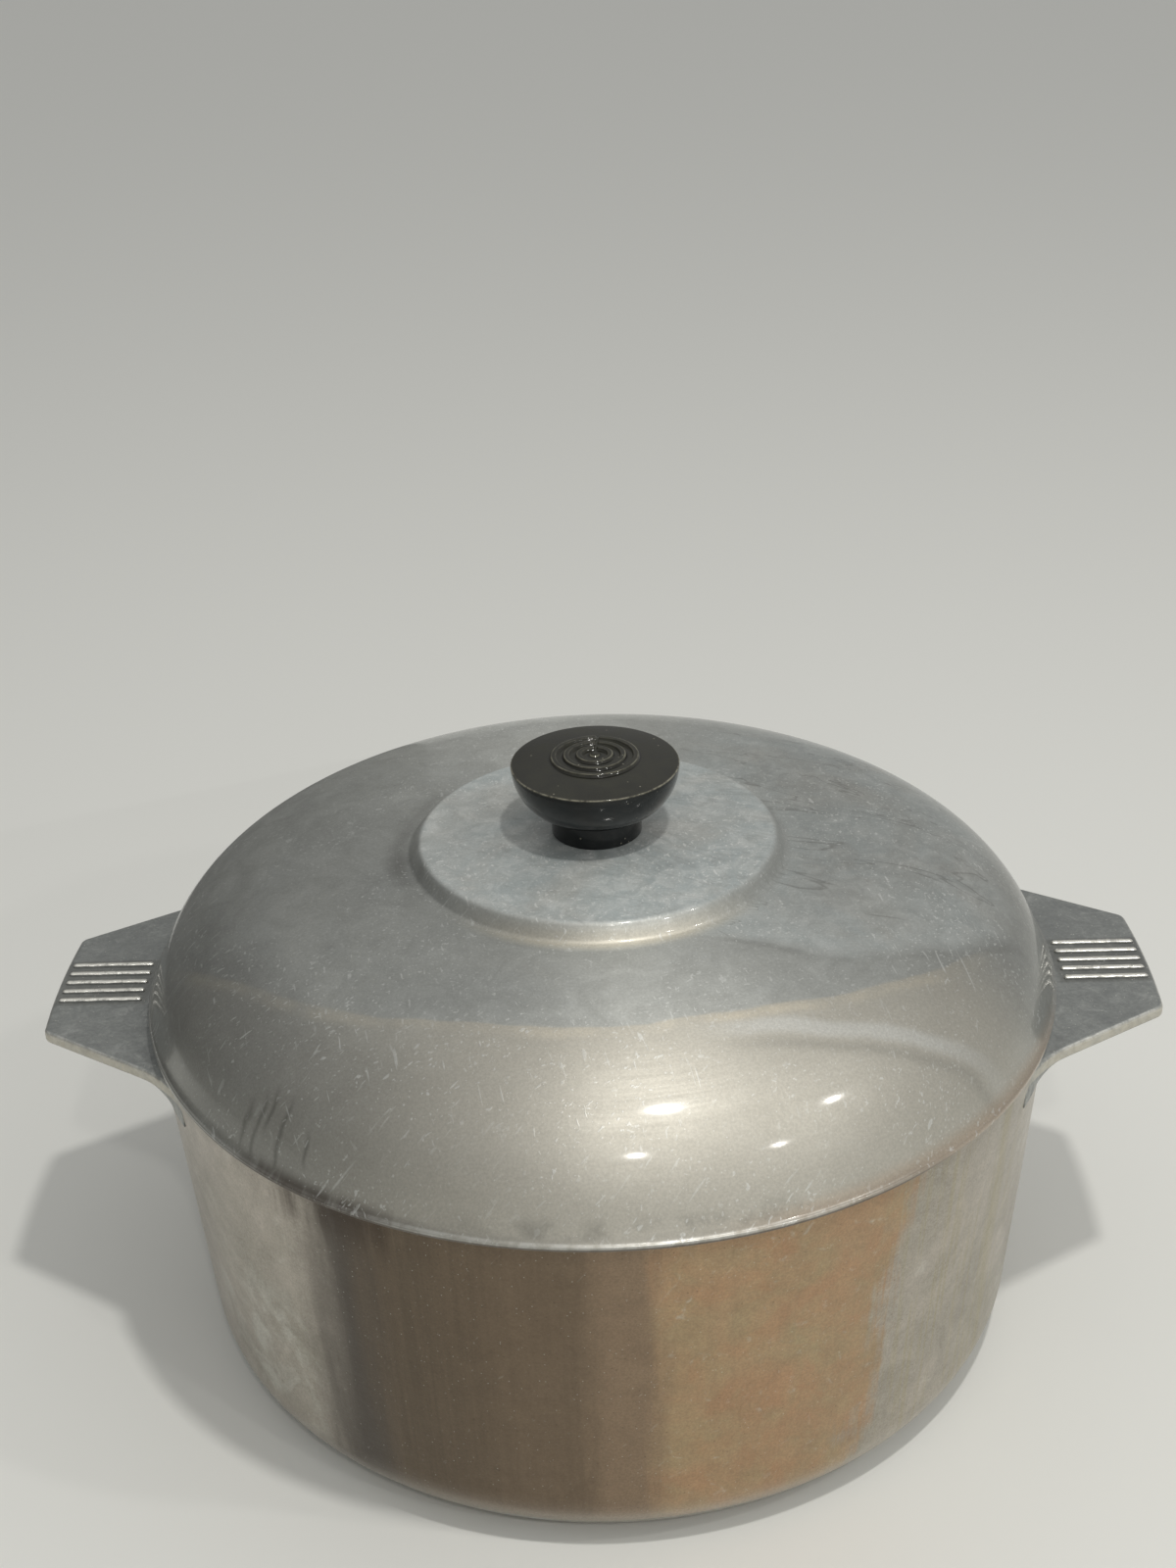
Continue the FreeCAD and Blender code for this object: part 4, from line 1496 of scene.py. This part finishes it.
@dataclass
class LugHandle:
    """One lug handle: a plate filleted into the wall, its edges rounded, with five raised ribs."""

    side: int
    wall_at_top: float
    wall_at_middle: float
    top: float = 103.2
    thickness: float = 3.8
    reach: float = 158.95
    edge_bulge: float = 0.9
    half_width: float = 24.8
    side_angle: float = 32.0
    corner_radius: float = 3.5
    edge_rounding: float = 1.1
    root_radius: float = 42.0
    upper_fillet: float = 3.0
    lower_fillet: float = 5.0
    hidden_radius: float = 126.3
    rib_count: int = 5
    rib_pitch: float = 4.7
    rib_width: float = 2.0
    rib_height: float = 0.9
    rib_start: float = 132.9
    rib_end: float = 157.2
    rib_taper: float = 0.05
    rib_flatness: float = 0.7
    rib_wear: float = 2.2
    upper_edge_rows: tuple[int, int] = (14, 18)
    side_rows: tuple[int, int] = (18, 24)

    @staticmethod
    def _arc(centre: np.ndarray, start: np.ndarray, end: np.ndarray, count: int) -> np.ndarray:
        """Points of the shorter arc about a centre: the arm from it turned evenly from start to end.

        Args:
            centre: Centre of the arc.
            start: First point.
            end: Last point.
            count: Steps to take.

        Returns:
            The points, both ends included.
        """
        first = math.atan2(*(start - centre)[::-1])
        sweep = math.atan2(*(end - centre)[::-1]) - first
        sweep = (sweep + math.pi) % (2 * math.pi) - math.pi
        angle = first + sweep * np.arange(count + 1) / count
        radius = np.linalg.norm(start - centre)
        return centre + radius * np.stack([np.cos(angle), np.sin(angle)], -1)

    def outline(self) -> np.ndarray:
        """Plan of the handle on +X, from the root at -Y round the outer edge to the root at +Y.

        Half of it is the bowed outer edge, a rounded corner, a straight side and an arc that
        touches both the side and the wall. The other half is its mirror image.

        Returns:
            An (n, 2) array of points in mm.
        """
        angle = math.radians(self.side_angle)
        corner = np.array([self.reach - self.edge_bulge, self.half_width])
        along = np.array([-math.cos(angle), math.sin(angle)])
        outward = np.array([math.sin(angle), math.cos(angle)])
        offset = corner + outward * self.root_radius
        half_b = float(offset @ along)
        excess = float(offset @ offset) - (self.wall_at_middle + self.root_radius) ** 2
        travel = -half_b - math.sqrt(half_b**2 - excess)
        root_centre = offset + along * travel
        side_end = corner + along * travel
        wall_point = root_centre * self.wall_at_middle / np.linalg.norm(root_centre)

        turn = math.pi / 2 + angle
        trim = self.corner_radius / math.tan(turn / 2)
        down = np.array([0.0, -1.0])
        edge_end = corner + down * trim
        side_start = corner + along * trim
        bisector = (down + along) / np.linalg.norm(down + along)
        corner_centre = corner + bisector * self.corner_radius / math.sin(turn / 2)

        share = np.linspace(0, 1, 25)[:, None]
        edge = np.array([self.reach, 0.0]) + (edge_end - np.array([self.reach, 0.0])) * share
        edge[:, 0] = self.reach - (self.reach - edge_end[0]) * share[:, 0] ** 2
        half = np.concatenate(
            [
                edge[:-1],
                self._arc(corner_centre, edge_end, side_start, 10)[:-1],
                spaced(side_start, side_end, 1.2)[:-1],
                self._arc(root_centre, side_end, wall_point, 26),
            ]
        )
        mirrored = half[:0:-1] * np.array([1.0, -1.0])
        return np.concatenate([mirrored, half])

    def _top_at(self, radius: np.ndarray) -> np.ndarray:
        """Height of the upper face: it rises by a fillet's quarter circle as it meets the wall.

        Args:
            radius: Distances from the axis, in mm.

        Returns:
            The heights in mm.
        """
        gap = np.clip(radius - self.wall_at_top, 0, self.upper_fillet)
        rest = self.upper_fillet - gap
        return self.top + self.upper_fillet - np.sqrt(self.upper_fillet**2 - rest**2)

    def _bottom_at(self, radius: np.ndarray) -> np.ndarray:
        """Height of the lower face, which falls by a fillet as it meets the wall.

        Args:
            radius: Distances from the axis, in mm.

        Returns:
            The heights in mm.
        """
        gap = np.clip(radius - self.wall_at_top, 0, self.lower_fillet)
        rest = self.lower_fillet - gap
        return self.top - self.thickness - self.lower_fillet + np.sqrt(self.lower_fillet**2 - rest**2)

    def plate(self) -> Surface:
        """The plate: a loop across the thickness carried along the plan.

        At each plan point the loop runs out along the upper face from a line hidden in the wall,
        round the upper edge by a quarter circle, down the side, round the lower edge and back in
        along the lower face. Both ends are closed by a fan inside the wall.

        Returns:
            The closed plate on +X.
        """
        plan = self.outline()
        ahead = np.gradient(plan, axis=0)
        ahead /= np.linalg.norm(ahead, axis=1)[:, None]
        normal = np.stack([ahead[:, 1], -ahead[:, 0]], -1)
        width = np.linalg.norm(plan, axis=1) - self.hidden_radius
        rounding = np.minimum(self.edge_rounding, 0.4 * width)[:, None]
        inset = plan - normal * rounding
        hidden = inset * (self.hidden_radius / np.linalg.norm(inset, axis=1))[:, None]

        share = (1 - np.cos(np.pi * np.arange(13) / 12)) / 2
        turn = np.linspace(0, np.pi / 2, 7)
        rows: list[np.ndarray] = []

        def add(flat: np.ndarray, height: np.ndarray) -> None:
            """Add one row of the loop for all plan points."""
            rows.append(np.column_stack([flat, height]))

        for t in share[:-1]:
            flat = hidden + (inset - hidden) * t
            add(flat, self._top_at(np.linalg.norm(flat, axis=1)))
        for a in turn:
            flat = inset + normal * rounding * math.sin(a)
            add(flat, self._top_at(np.linalg.norm(flat, axis=1)) - rounding[:, 0] * (1 - math.cos(a)))
        upper = rows[-1][:, 2]
        lower = self._bottom_at(np.linalg.norm(plan, axis=1)) + rounding[:, 0]
        for t in (0.25, 0.5, 0.75):
            add(plan, upper + (lower - upper) * t)
        for a in turn[::-1]:
            flat = inset + normal * rounding * math.sin(a)
            add(flat, self._bottom_at(np.linalg.norm(flat, axis=1)) + rounding[:, 0] * (1 - math.cos(a)))
        for t in share[:-1][::-1]:
            flat = hidden + (inset - hidden) * t
            add(flat, self._bottom_at(np.linalg.norm(flat, axis=1)))

        wear = np.zeros(len(rows))
        wear[slice(*self.upper_edge_rows)] = 0.35
        wear[slice(*self.side_rows)] = 0.18
        return tube(np.stack(rows), wear, 0.0, flip=True)

    def rib(self, number: int) -> Surface:
        """One raised rib: a bar whose section is a flattened half round and whose ends taper off.

        Point (u, v) is at x(u), with y = -e(u) w/2 cos v and z = top + e(u) h (sin v)^0.7 for the
        half turn of v, and a row below the plate closes it. e(u) is a quarter circle at each end.

        Args:
            number: Which rib, from 0 at -Y.

        Returns:
            The closed rib on +X.
        """
        offset = (number - (self.rib_count - 1) / 2) * self.rib_pitch
        taper = self.rib_taper
        middle = np.linspace(taper, 1 - taper, 31)[1:-1]
        u = np.concatenate([np.linspace(0, taper, 7), middle, np.linspace(1 - taper, 1, 7)])
        from_end = np.clip(np.minimum(u, 1 - u) / taper, 0, 1)
        swell = np.sqrt(np.clip(1 - (1 - from_end) ** 2, 0.02, 1))
        x = self.rib_start + (self.rib_end - self.rib_start) * u
        wander = 0.05 * np.sin(0.55 * x + 1.7 * number) + 0.04 * np.sin(1.3 * x + 4.1 * number)
        v = np.linspace(0, np.pi, 15)
        half_width = (self.rib_width / 2) * swell * (1 + 0.5 * wander)
        tall = self.rib_height * swell * (1 - 0.7 * np.abs(wander))
        y = offset + 0.5 * wander[None] - np.cos(v)[:, None] * half_width[None]
        z = self.top - 0.05 + np.sin(v)[:, None] ** self.rib_flatness * tall[None]
        top_rows = np.stack([np.broadcast_to(x, y.shape), y, z], -1)
        under = top_rows[[-1, 0]].copy()
        under[..., 2] = self.top - 0.5
        height = np.concatenate([np.sin(v) ** self.rib_flatness, [0.0, 0.0]])
        wear = self.rib_wear * np.clip((height - 0.55) * 3.0, 0, 1)
        return tube(np.concatenate([top_rows, under]), wear, 0.5)

    def surface(self) -> Surface:
        """Plate and ribs, turned half round for the handle on -X."""
        whole = joined([self.plate(), *(self.rib(number) for number in range(self.rib_count))])
        whole.points[:, :2] *= self.side
        return whole


@dataclass
class Lid:
    """The lid: skirt, lip, dome, raised centre and screw hole."""

    seam: float = top_of("pot")
    radius: float = width_of("lid") / 2
    lip_height: float = 1.7
    lip_proud: float = 0.5
    thickness: float = 3.6
    shoulder: float = 145.3
    dome_lower: tuple[float, float] = (125.0, 112.5)
    dome_upper: float = 127.4
    step_foot: float = 53.2
    plateau_radius: float = 50.3
    plateau_height: float = 149.8
    plateau_crown: float = 0.8
    step_rounding: float = 1.8
    seat_radius: float = 13.4
    hole_radius: float = 2.4
    underside: float = 146.6
    skirt_radius: float = 123.2
    skirt_bottom: float = bottom_of("lid")
    skirt_thickness: float = 3.0
    skirt_taper: float = 0.6
    foot_rounding: float = 0.7
    lip_rounding: float = 0.45
    step_edge: float = 1.62
    inner_step_edge: float = 1.26
    hole_rounding: float = 0.25
    lip_wear: float = 0.75
    step_wear: float = 0.25
    unevenness: float = 0.22
    segments: int = 384

    def build(self) -> bpy.types.Object:
        """Turn the lid's profile from the skirt, over the lip and dome, and back underneath.

        Returns:
            The lid.
        """
        skirt_inner = self.skirt_radius - self.skirt_thickness
        seat = self.plateau_height + self.plateau_crown
        foot = (self.radius - self.lip_proud, self.seam + self.lip_height)
        top = (self.step_foot + self.step_rounding, self.shoulder)
        edge = rounded_profile(
            [
                (skirt_inner, self.skirt_bottom, 0.0),
                (self.skirt_radius - self.skirt_taper, self.skirt_bottom, 0.5),
                (self.skirt_radius, self.seam, 0.0),
                (self.radius, self.seam, self.foot_rounding),
                (self.radius, self.seam + self.lip_height, self.lip_rounding),
                (*foot, 0.0),
            ],
            spacing=1.5,
            arc_points=5,
        )
        dome = cubic([foot, self.dome_lower, (self.dome_upper, self.shoulder), top], 64)
        step = rounded_profile(
            [
                (*top, 0.0),
                (self.step_foot, self.shoulder, self.step_edge),
                (self.plateau_radius, self.plateau_height, self.step_edge),
                (self.plateau_radius - self.step_rounding, self.plateau_height, 0.0),
            ],
            spacing=0.6,
        )
        radii = np.linspace(self.plateau_radius - self.step_rounding, self.seat_radius, 22)
        span = self.plateau_radius - self.step_rounding - self.seat_radius
        share = (radii - self.seat_radius) / span
        crown = np.stack([radii, seat - self.plateau_crown * (0.12 * share + 0.88 * share**2)], -1)
        under = rounded_profile(
            [
                (self.seat_radius, seat, 0.0),
                (self.hole_radius, seat, self.hole_rounding),
                (self.hole_radius, self.underside, self.hole_rounding),
                (self.seat_radius, self.underside, 0.0),
                (self.plateau_radius - self.thickness, self.plateau_height - self.thickness, 1.8),
                (self.step_foot - self.thickness, self.shoulder - self.thickness, self.inner_step_edge),
                (self.step_foot - self.thickness / 2, self.shoulder - self.thickness, 0.0),
            ],
            arc_points=5,
        )
        inner = cubic(
            [
                (self.step_foot - self.thickness / 2, self.shoulder - self.thickness),
                (self.skirt_radius - 2.2, self.shoulder - self.thickness),
                (skirt_inner, self.seam + 11.0),
                (skirt_inner, self.seam),
            ],
            44,
        )
        last = spaced(np.array([skirt_inner, self.seam]), np.array([skirt_inner, self.skirt_bottom]), 2.0)
        profile = chained(edge, dome, step, crown, under, inner, last[:-1])
        lip = (profile[:, 0] > self.radius - 0.75) & (profile[:, 1] < self.seam + self.lip_height + 0.2)
        near_step = np.abs(profile[:, 0] - self.plateau_radius) < 1.2
        on_top = profile[:, 1] > self.plateau_height - 1.6
        wear = np.where(lip, self.lip_wear, 0.0) + np.where(near_step & on_top, self.step_wear, 0.0)
        surface = turned(profile, self.segments, wear)
        settle(surface, self.unevenness, 2.9)
        return surface.piece("lid_dome", Body.LID, Finish.LID_CASTING, "lid")


@dataclass
class Knob:
    """The knob: straight neck, elliptical bowl, crowned top with three broken rings and a pip."""

    radius: float = 23.5
    crown: float = 2.0
    pip_height: float = 0.9
    edge_height: float = top_of("knob") - crown - pip_height
    edge_rounding: float = 0.35
    neck_radius: float = 12.7
    bowl_centre: float = 10.0
    bowl_depth: float = 14.8
    seat_height: float = bottom_of("knob")
    pocket_radius: float = 3.5
    pocket_depth: float = 12.0
    ring_radii: tuple[float, ...] = (11.55, 7.95, 4.4)
    ring_width: float = 1.9
    ring_height: float = 0.8
    pip_radius: float = 1.7
    break_azimuth: float = 176.0
    break_width: float = 0.6
    crown_inset: float = 0.9
    relief_radius: float = 12.5
    relief_step: float = 0.14
    edge_wear: float = 0.6
    segments: int = 320

    def _crown_at(self, radius: np.ndarray) -> np.ndarray:
        """Height of the crowned top: the edge's height plus the crown times 1 - (r / R)^2."""
        return self.edge_height + self.crown * (1 - (radius / self.radius) ** 2)

    def _relief(self, surface: Surface) -> None:
        """Raise the rings and the pip on the top, and lower the rings where they are broken.

        A ring's section is sqrt(1 - x^6) of its distance x from the ring's middle in half widths,
        and the pip's is 1 - x^2. The break is a narrow valley along one radius.

        Args:
            surface: The turned knob.
        """
        x, y, z = surface.points.T
        radius = np.hypot(x, y)
        top = z > self._crown_at(radius) - 0.02
        rise = np.zeros_like(radius)
        crest_wear_and_highlight = np.zeros_like(radius)
        for ring in self.ring_radii:
            off = np.clip(np.abs(radius - ring) / (self.ring_width / 2), 0, 1)
            rise = np.maximum(rise, self.ring_height * np.sqrt(1 - off**6))
            crest_wear_and_highlight = np.maximum(crest_wear_and_highlight, 0.12 * np.exp(-(((off - 0.70) / 0.13) ** 2)))
        angle = math.radians(self.break_azimuth)
        across = x * math.cos(angle) + y * math.sin(angle)
        along = x * math.sin(angle) - y * math.cos(angle)
        valley = np.clip(np.abs(across) / self.break_width, 0, 1) ** 2
        rise *= np.where(along > 0, 0.15 + 0.85 * valley, 1.0)
        off = np.clip(radius / self.pip_radius, 0, 1)
        rise = np.maximum(rise, self.pip_height * (1 - off**2))
        surface.points[:, 2] += np.where(top & (z > self.edge_height - 0.2), rise, 0)
        # Pale marks on the rings' shoulders, which are wear and a painted highlight at once.
        surface.wear += np.where(top, crest_wear_and_highlight, 0)

    def build(self) -> bpy.types.Object:
        """Turn the knob's profile from the insert's pocket, up the neck and bowl, and over the top.

        Returns:
            The knob.
        """
        bowl_width = self.radius - self.bowl_centre
        start = math.acos((self.neck_radius - self.bowl_centre) / bowl_width)
        angle = np.linspace(start, math.radians(3), 36)
        bowl = np.stack(
            [
                self.bowl_centre + bowl_width * np.cos(angle),
                self.edge_height - self.bowl_depth * np.sin(angle),
            ],
            -1,
        )
        pocket_top = self.seat_height + self.pocket_depth
        base = rounded_profile(
            [
                (0.0, pocket_top, 0.0),
                (self.pocket_radius, pocket_top, 0.0),
                (self.pocket_radius, self.seat_height, 0.3),
                (self.neck_radius, self.seat_height, 0.3),
                (*bowl[0], 0.0),
            ],
            spacing=1.0,
            arc_points=4,
        )
        rim_inner = self.radius - self.crown_inset
        rim = rounded_profile(
            [
                (*bowl[-1], 0.0),
                (self.radius, float(self._crown_at(np.array(self.radius))), self.edge_rounding),
                (rim_inner, float(self._crown_at(np.array(rim_inner))), 0.0),
            ],
            spacing=0.3,
            arc_points=6,
        )
        outer = np.linspace(rim_inner, self.relief_radius + 0.1, 14)
        relief = np.arange(self.relief_radius, 0.0, -self.relief_step)
        radii = np.concatenate([outer, relief, [0.0]])
        top = np.stack([radii, self._crown_at(radii)], -1)
        profile = chained(base, bowl, rim, top)
        from_edge = np.hypot(profile[:, 0] - self.radius, profile[:, 1] - self.edge_height)
        wear = self.edge_wear * np.clip(1.2 - from_edge / 0.34, 0, 1)
        surface = turned(profile, self.segments, wear)
        self._relief(surface)
        return surface.piece("knob_grip", Body.LID, Finish.PHENOLIC, "knob")


# ---------------------------------------------------------------------------------------------
# Stage
# ---------------------------------------------------------------------------------------------


@dataclass
class Stage:
    """Pale floor, plain soft light and the small lamps overhead."""

    floor_half: float = 6.0
    floor_colour: Colour = srgb(234, 235, 232)

    def _plane(self, name: str, corners: Sequence[tuple[float, float, float]]) -> bpy.types.Object:
        """A flat four-cornered sheet of the stage.

        Args:
            name: Its name.
            corners: Its corners in order, in metres.

        Returns:
            The sheet.
        """
        mesh = bpy.data.meshes.new(name)
        mesh.from_pydata(list(corners), [], [(0, 1, 2, 3)])
        made = bpy.data.objects.new(name, mesh)
        bpy.context.scene.collection.objects.link(made)
        return made

    def floor(self) -> None:
        """The plain pale floor."""
        h = self.floor_half
        plane = self._plane("floor", [(-h, -h, 0.0), (h, -h, 0.0), (h, h, 0.0), (-h, h, 0.0)])
        material = bpy.data.materials.new("pale_floor")
        material.use_nodes = True
        shader = material.node_tree.nodes["Principled BSDF"]
        shader.inputs["Base Color"].default_value = (*self.floor_colour, 1.0)
        shader.inputs["Roughness"].default_value = 0.55
        plane.data.materials.append(material)

    def card(self, name: str, corners: Sequence[tuple[float, float, float]], glow: float) -> None:
        """A dark card that only shows as a reflection.

        Args:
            name: Name of the card.
            corners: Its four corners in order.
            glow: How bright it looks.
        """
        made = self._plane(name, corners)
        material = bpy.data.materials.new(name)
        material.use_nodes = True
        graph = Graph(material.node_tree)
        graph.tree.nodes.clear()
        shader = graph.add("Emission", {"Color": (1.0, 1.0, 0.96), "Strength": glow})
        output = graph.tree.nodes.new("ShaderNodeOutputMaterial")
        graph.tree.links.new(shader.outputs[0], output.inputs[0])
        made.data.materials.append(material)
        made.visible_camera = False
        made.visible_diffuse = False
        made.visible_shadow = False

    def lamp(
        self,
        name: str,
        place: tuple[float, float, float],
        aim: tuple[float, float, float],
        size: float,
        power: float,
        colour: Colour = (1.0, 1.0, 1.0),
    ) -> None:
        """A round area lamp.

        Args:
            name: Name of the lamp.
            place: Where it is, in metres.
            aim: Point that it faces.
            size: Its diameter in metres.
            power: Its power in watts.
            colour: Its colour.
        """
        data = bpy.data.lights.new(name, "AREA")
        data.shape = "DISK"
        data.size = size
        data.energy = power
        data.color = colour
        made = bpy.data.objects.new(name, data)
        made.location = place
        made.rotation_euler = (Vector(aim) - Vector(place)).to_track_quat("-Z", "Y").to_euler()
        bpy.context.scene.collection.objects.link(made)

    def world(self) -> None:
        """Soft grey surroundings, lighter overhead and to the right, darker behind and to the left."""
        world = bpy.data.worlds.new("studio")
        world.use_nodes = True
        bpy.context.scene.world = world
        graph = Graph(world.node_tree)
        graph.tree.nodes.clear()
        direction = graph.add("TexCoord").outputs["Generated"]
        axes = graph.add("SeparateXYZ", {0: direction}).outputs
        overhead = graph.smooth(axes[2], 0.25, 0.80)
        behind = graph.smooth(axes[1], 0.2, 0.95)
        right = graph.smooth(axes[0], -0.9, 0.7)
        level = graph.between(right, 0.17, 0.52)
        level = graph.times(level, graph.between(behind, 1.0, 0.65))
        level = graph.between(overhead, level, 0.52)
        background = graph.add("Background", {"Color": (1.0, 0.995, 0.965), "Strength": level})
        output = graph.tree.nodes.new("ShaderNodeOutputWorld")
        graph.tree.links.new(background.outputs[0], output.inputs[0])

    def build(self) -> None:
        """Set the stage."""
        self.floor()
        self.world()
        left, back = (-1.3, -0.15), (-0.1, 0.36)
        self.card("dark_card", [(*left, 0.0), (*back, 0.0), (*back, 0.26), (*left, 0.26)], 0.10)
        warm = (1.0, 0.975, 0.925)
        target = (0.0, 0.0, 0.1)
        self.lamp("key", (0.20, -0.32, 1.29), target, 0.07, 4.6, warm)
        self.lamp("far_front", (0.18, -1.17, 1.29), target, 0.07, 2.0, warm)
        self.lamp("far_right", (1.11, -0.43, 1.29), target, 0.07, 2.0, warm)
        self.lamp("far_corner", (1.25, -1.30, 1.29), target, 0.07, 2.2, warm)


@dataclass
class StudioCamera:
    """The camera: where it stands and how it is turned."""

    place: tuple[float, float, float] = (0.0061, -0.5113, 0.4268)
    yaw: float = -0.92
    pitch: float = 27.13
    roll: float = -1.84
    lens: float = 47.3

    def build(self) -> None:
        """Make the camera. Its axes come from yaw and pitch, then turn by roll about its view."""
        yaw, pitch, roll = (math.radians(value) for value in (self.yaw, self.pitch, self.roll))
        away = math.cos(pitch)
        forward = Vector((math.sin(yaw) * away, math.cos(yaw) * away, -math.sin(pitch)))
        level = forward.cross(Vector((0, 0, 1))).normalized()
        upright = level.cross(forward)
        right = level * math.cos(roll) + upright * math.sin(roll)
        up = upright * math.cos(roll) - level * math.sin(roll)
        data = bpy.data.cameras.new("camera")
        data.lens = self.lens
        data.sensor_width = 36.0
        data.clip_start, data.clip_end = 0.01, 50.0
        made = bpy.data.objects.new("camera", data)
        turn = Matrix((right, up, -forward)).transposed().to_4x4()
        made.matrix_world = Matrix.Translation(self.place) @ turn
        bpy.context.scene.collection.objects.link(made)
        bpy.context.scene.camera = made


# ---------------------------------------------------------------------------------------------
# Assembly
# ---------------------------------------------------------------------------------------------


def dress(target: bpy.types.Object, material: bpy.types.Material) -> None:
    """Give an object one material in place of any it has."""
    target.data.materials.clear()
    target.data.materials.append(material)


def main() -> None:
    """Build the pieces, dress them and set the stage."""
    logging.basicConfig(level=logging.INFO, format="%(name)s: %(message)s")
    bpy.context.scene.view_settings.view_transform = "Standard"
    effects = SharedEffects()

    pot = Pot()
    stained_and_reflected = HeatStainAndPaintedReflection(wall_taper=pot.taper(), mid_wall=pot.mid_wall())
    dress(pot.build(), stained_and_reflected.make(effects))
    wall_at_top = pot.wall_radius(LugHandle.top) - WALL_OVERLAP
    wall_at_middle = pot.wall_radius(LugHandle.top - LugHandle.thickness / 2) - WALL_OVERLAP
    casting = RoughCasting().make(effects)
    for side, name in ((1, "handle_right"), (-1, "handle_left")):
        lug = LugHandle(side, wall_at_top, wall_at_middle).surface()
        dress(lug.piece(name, Body.POT, Finish.POT_CASTING, "pot"), casting)

    dress(Lid().build(), WornLidAluminium().make(effects))
    dress(Knob().build(), AgedPhenolic().make(effects))
    brass = SmallMetal("aged_brass", srgb(214, 178, 104), srgb(120, 92, 52), 0.30).make(effects)
    steel = SmallMetal("plated_steel", srgb(196, 198, 200), srgb(110, 108, 104), 0.32).make(effects)
    dress(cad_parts["knob_insert"], brass)
    dress(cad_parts["knob_screw"], steel)
    dress(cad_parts["knob_washer"], steel)

    Stage().build()
    StudioCamera().build()


if __name__ == "__main__":
    main()
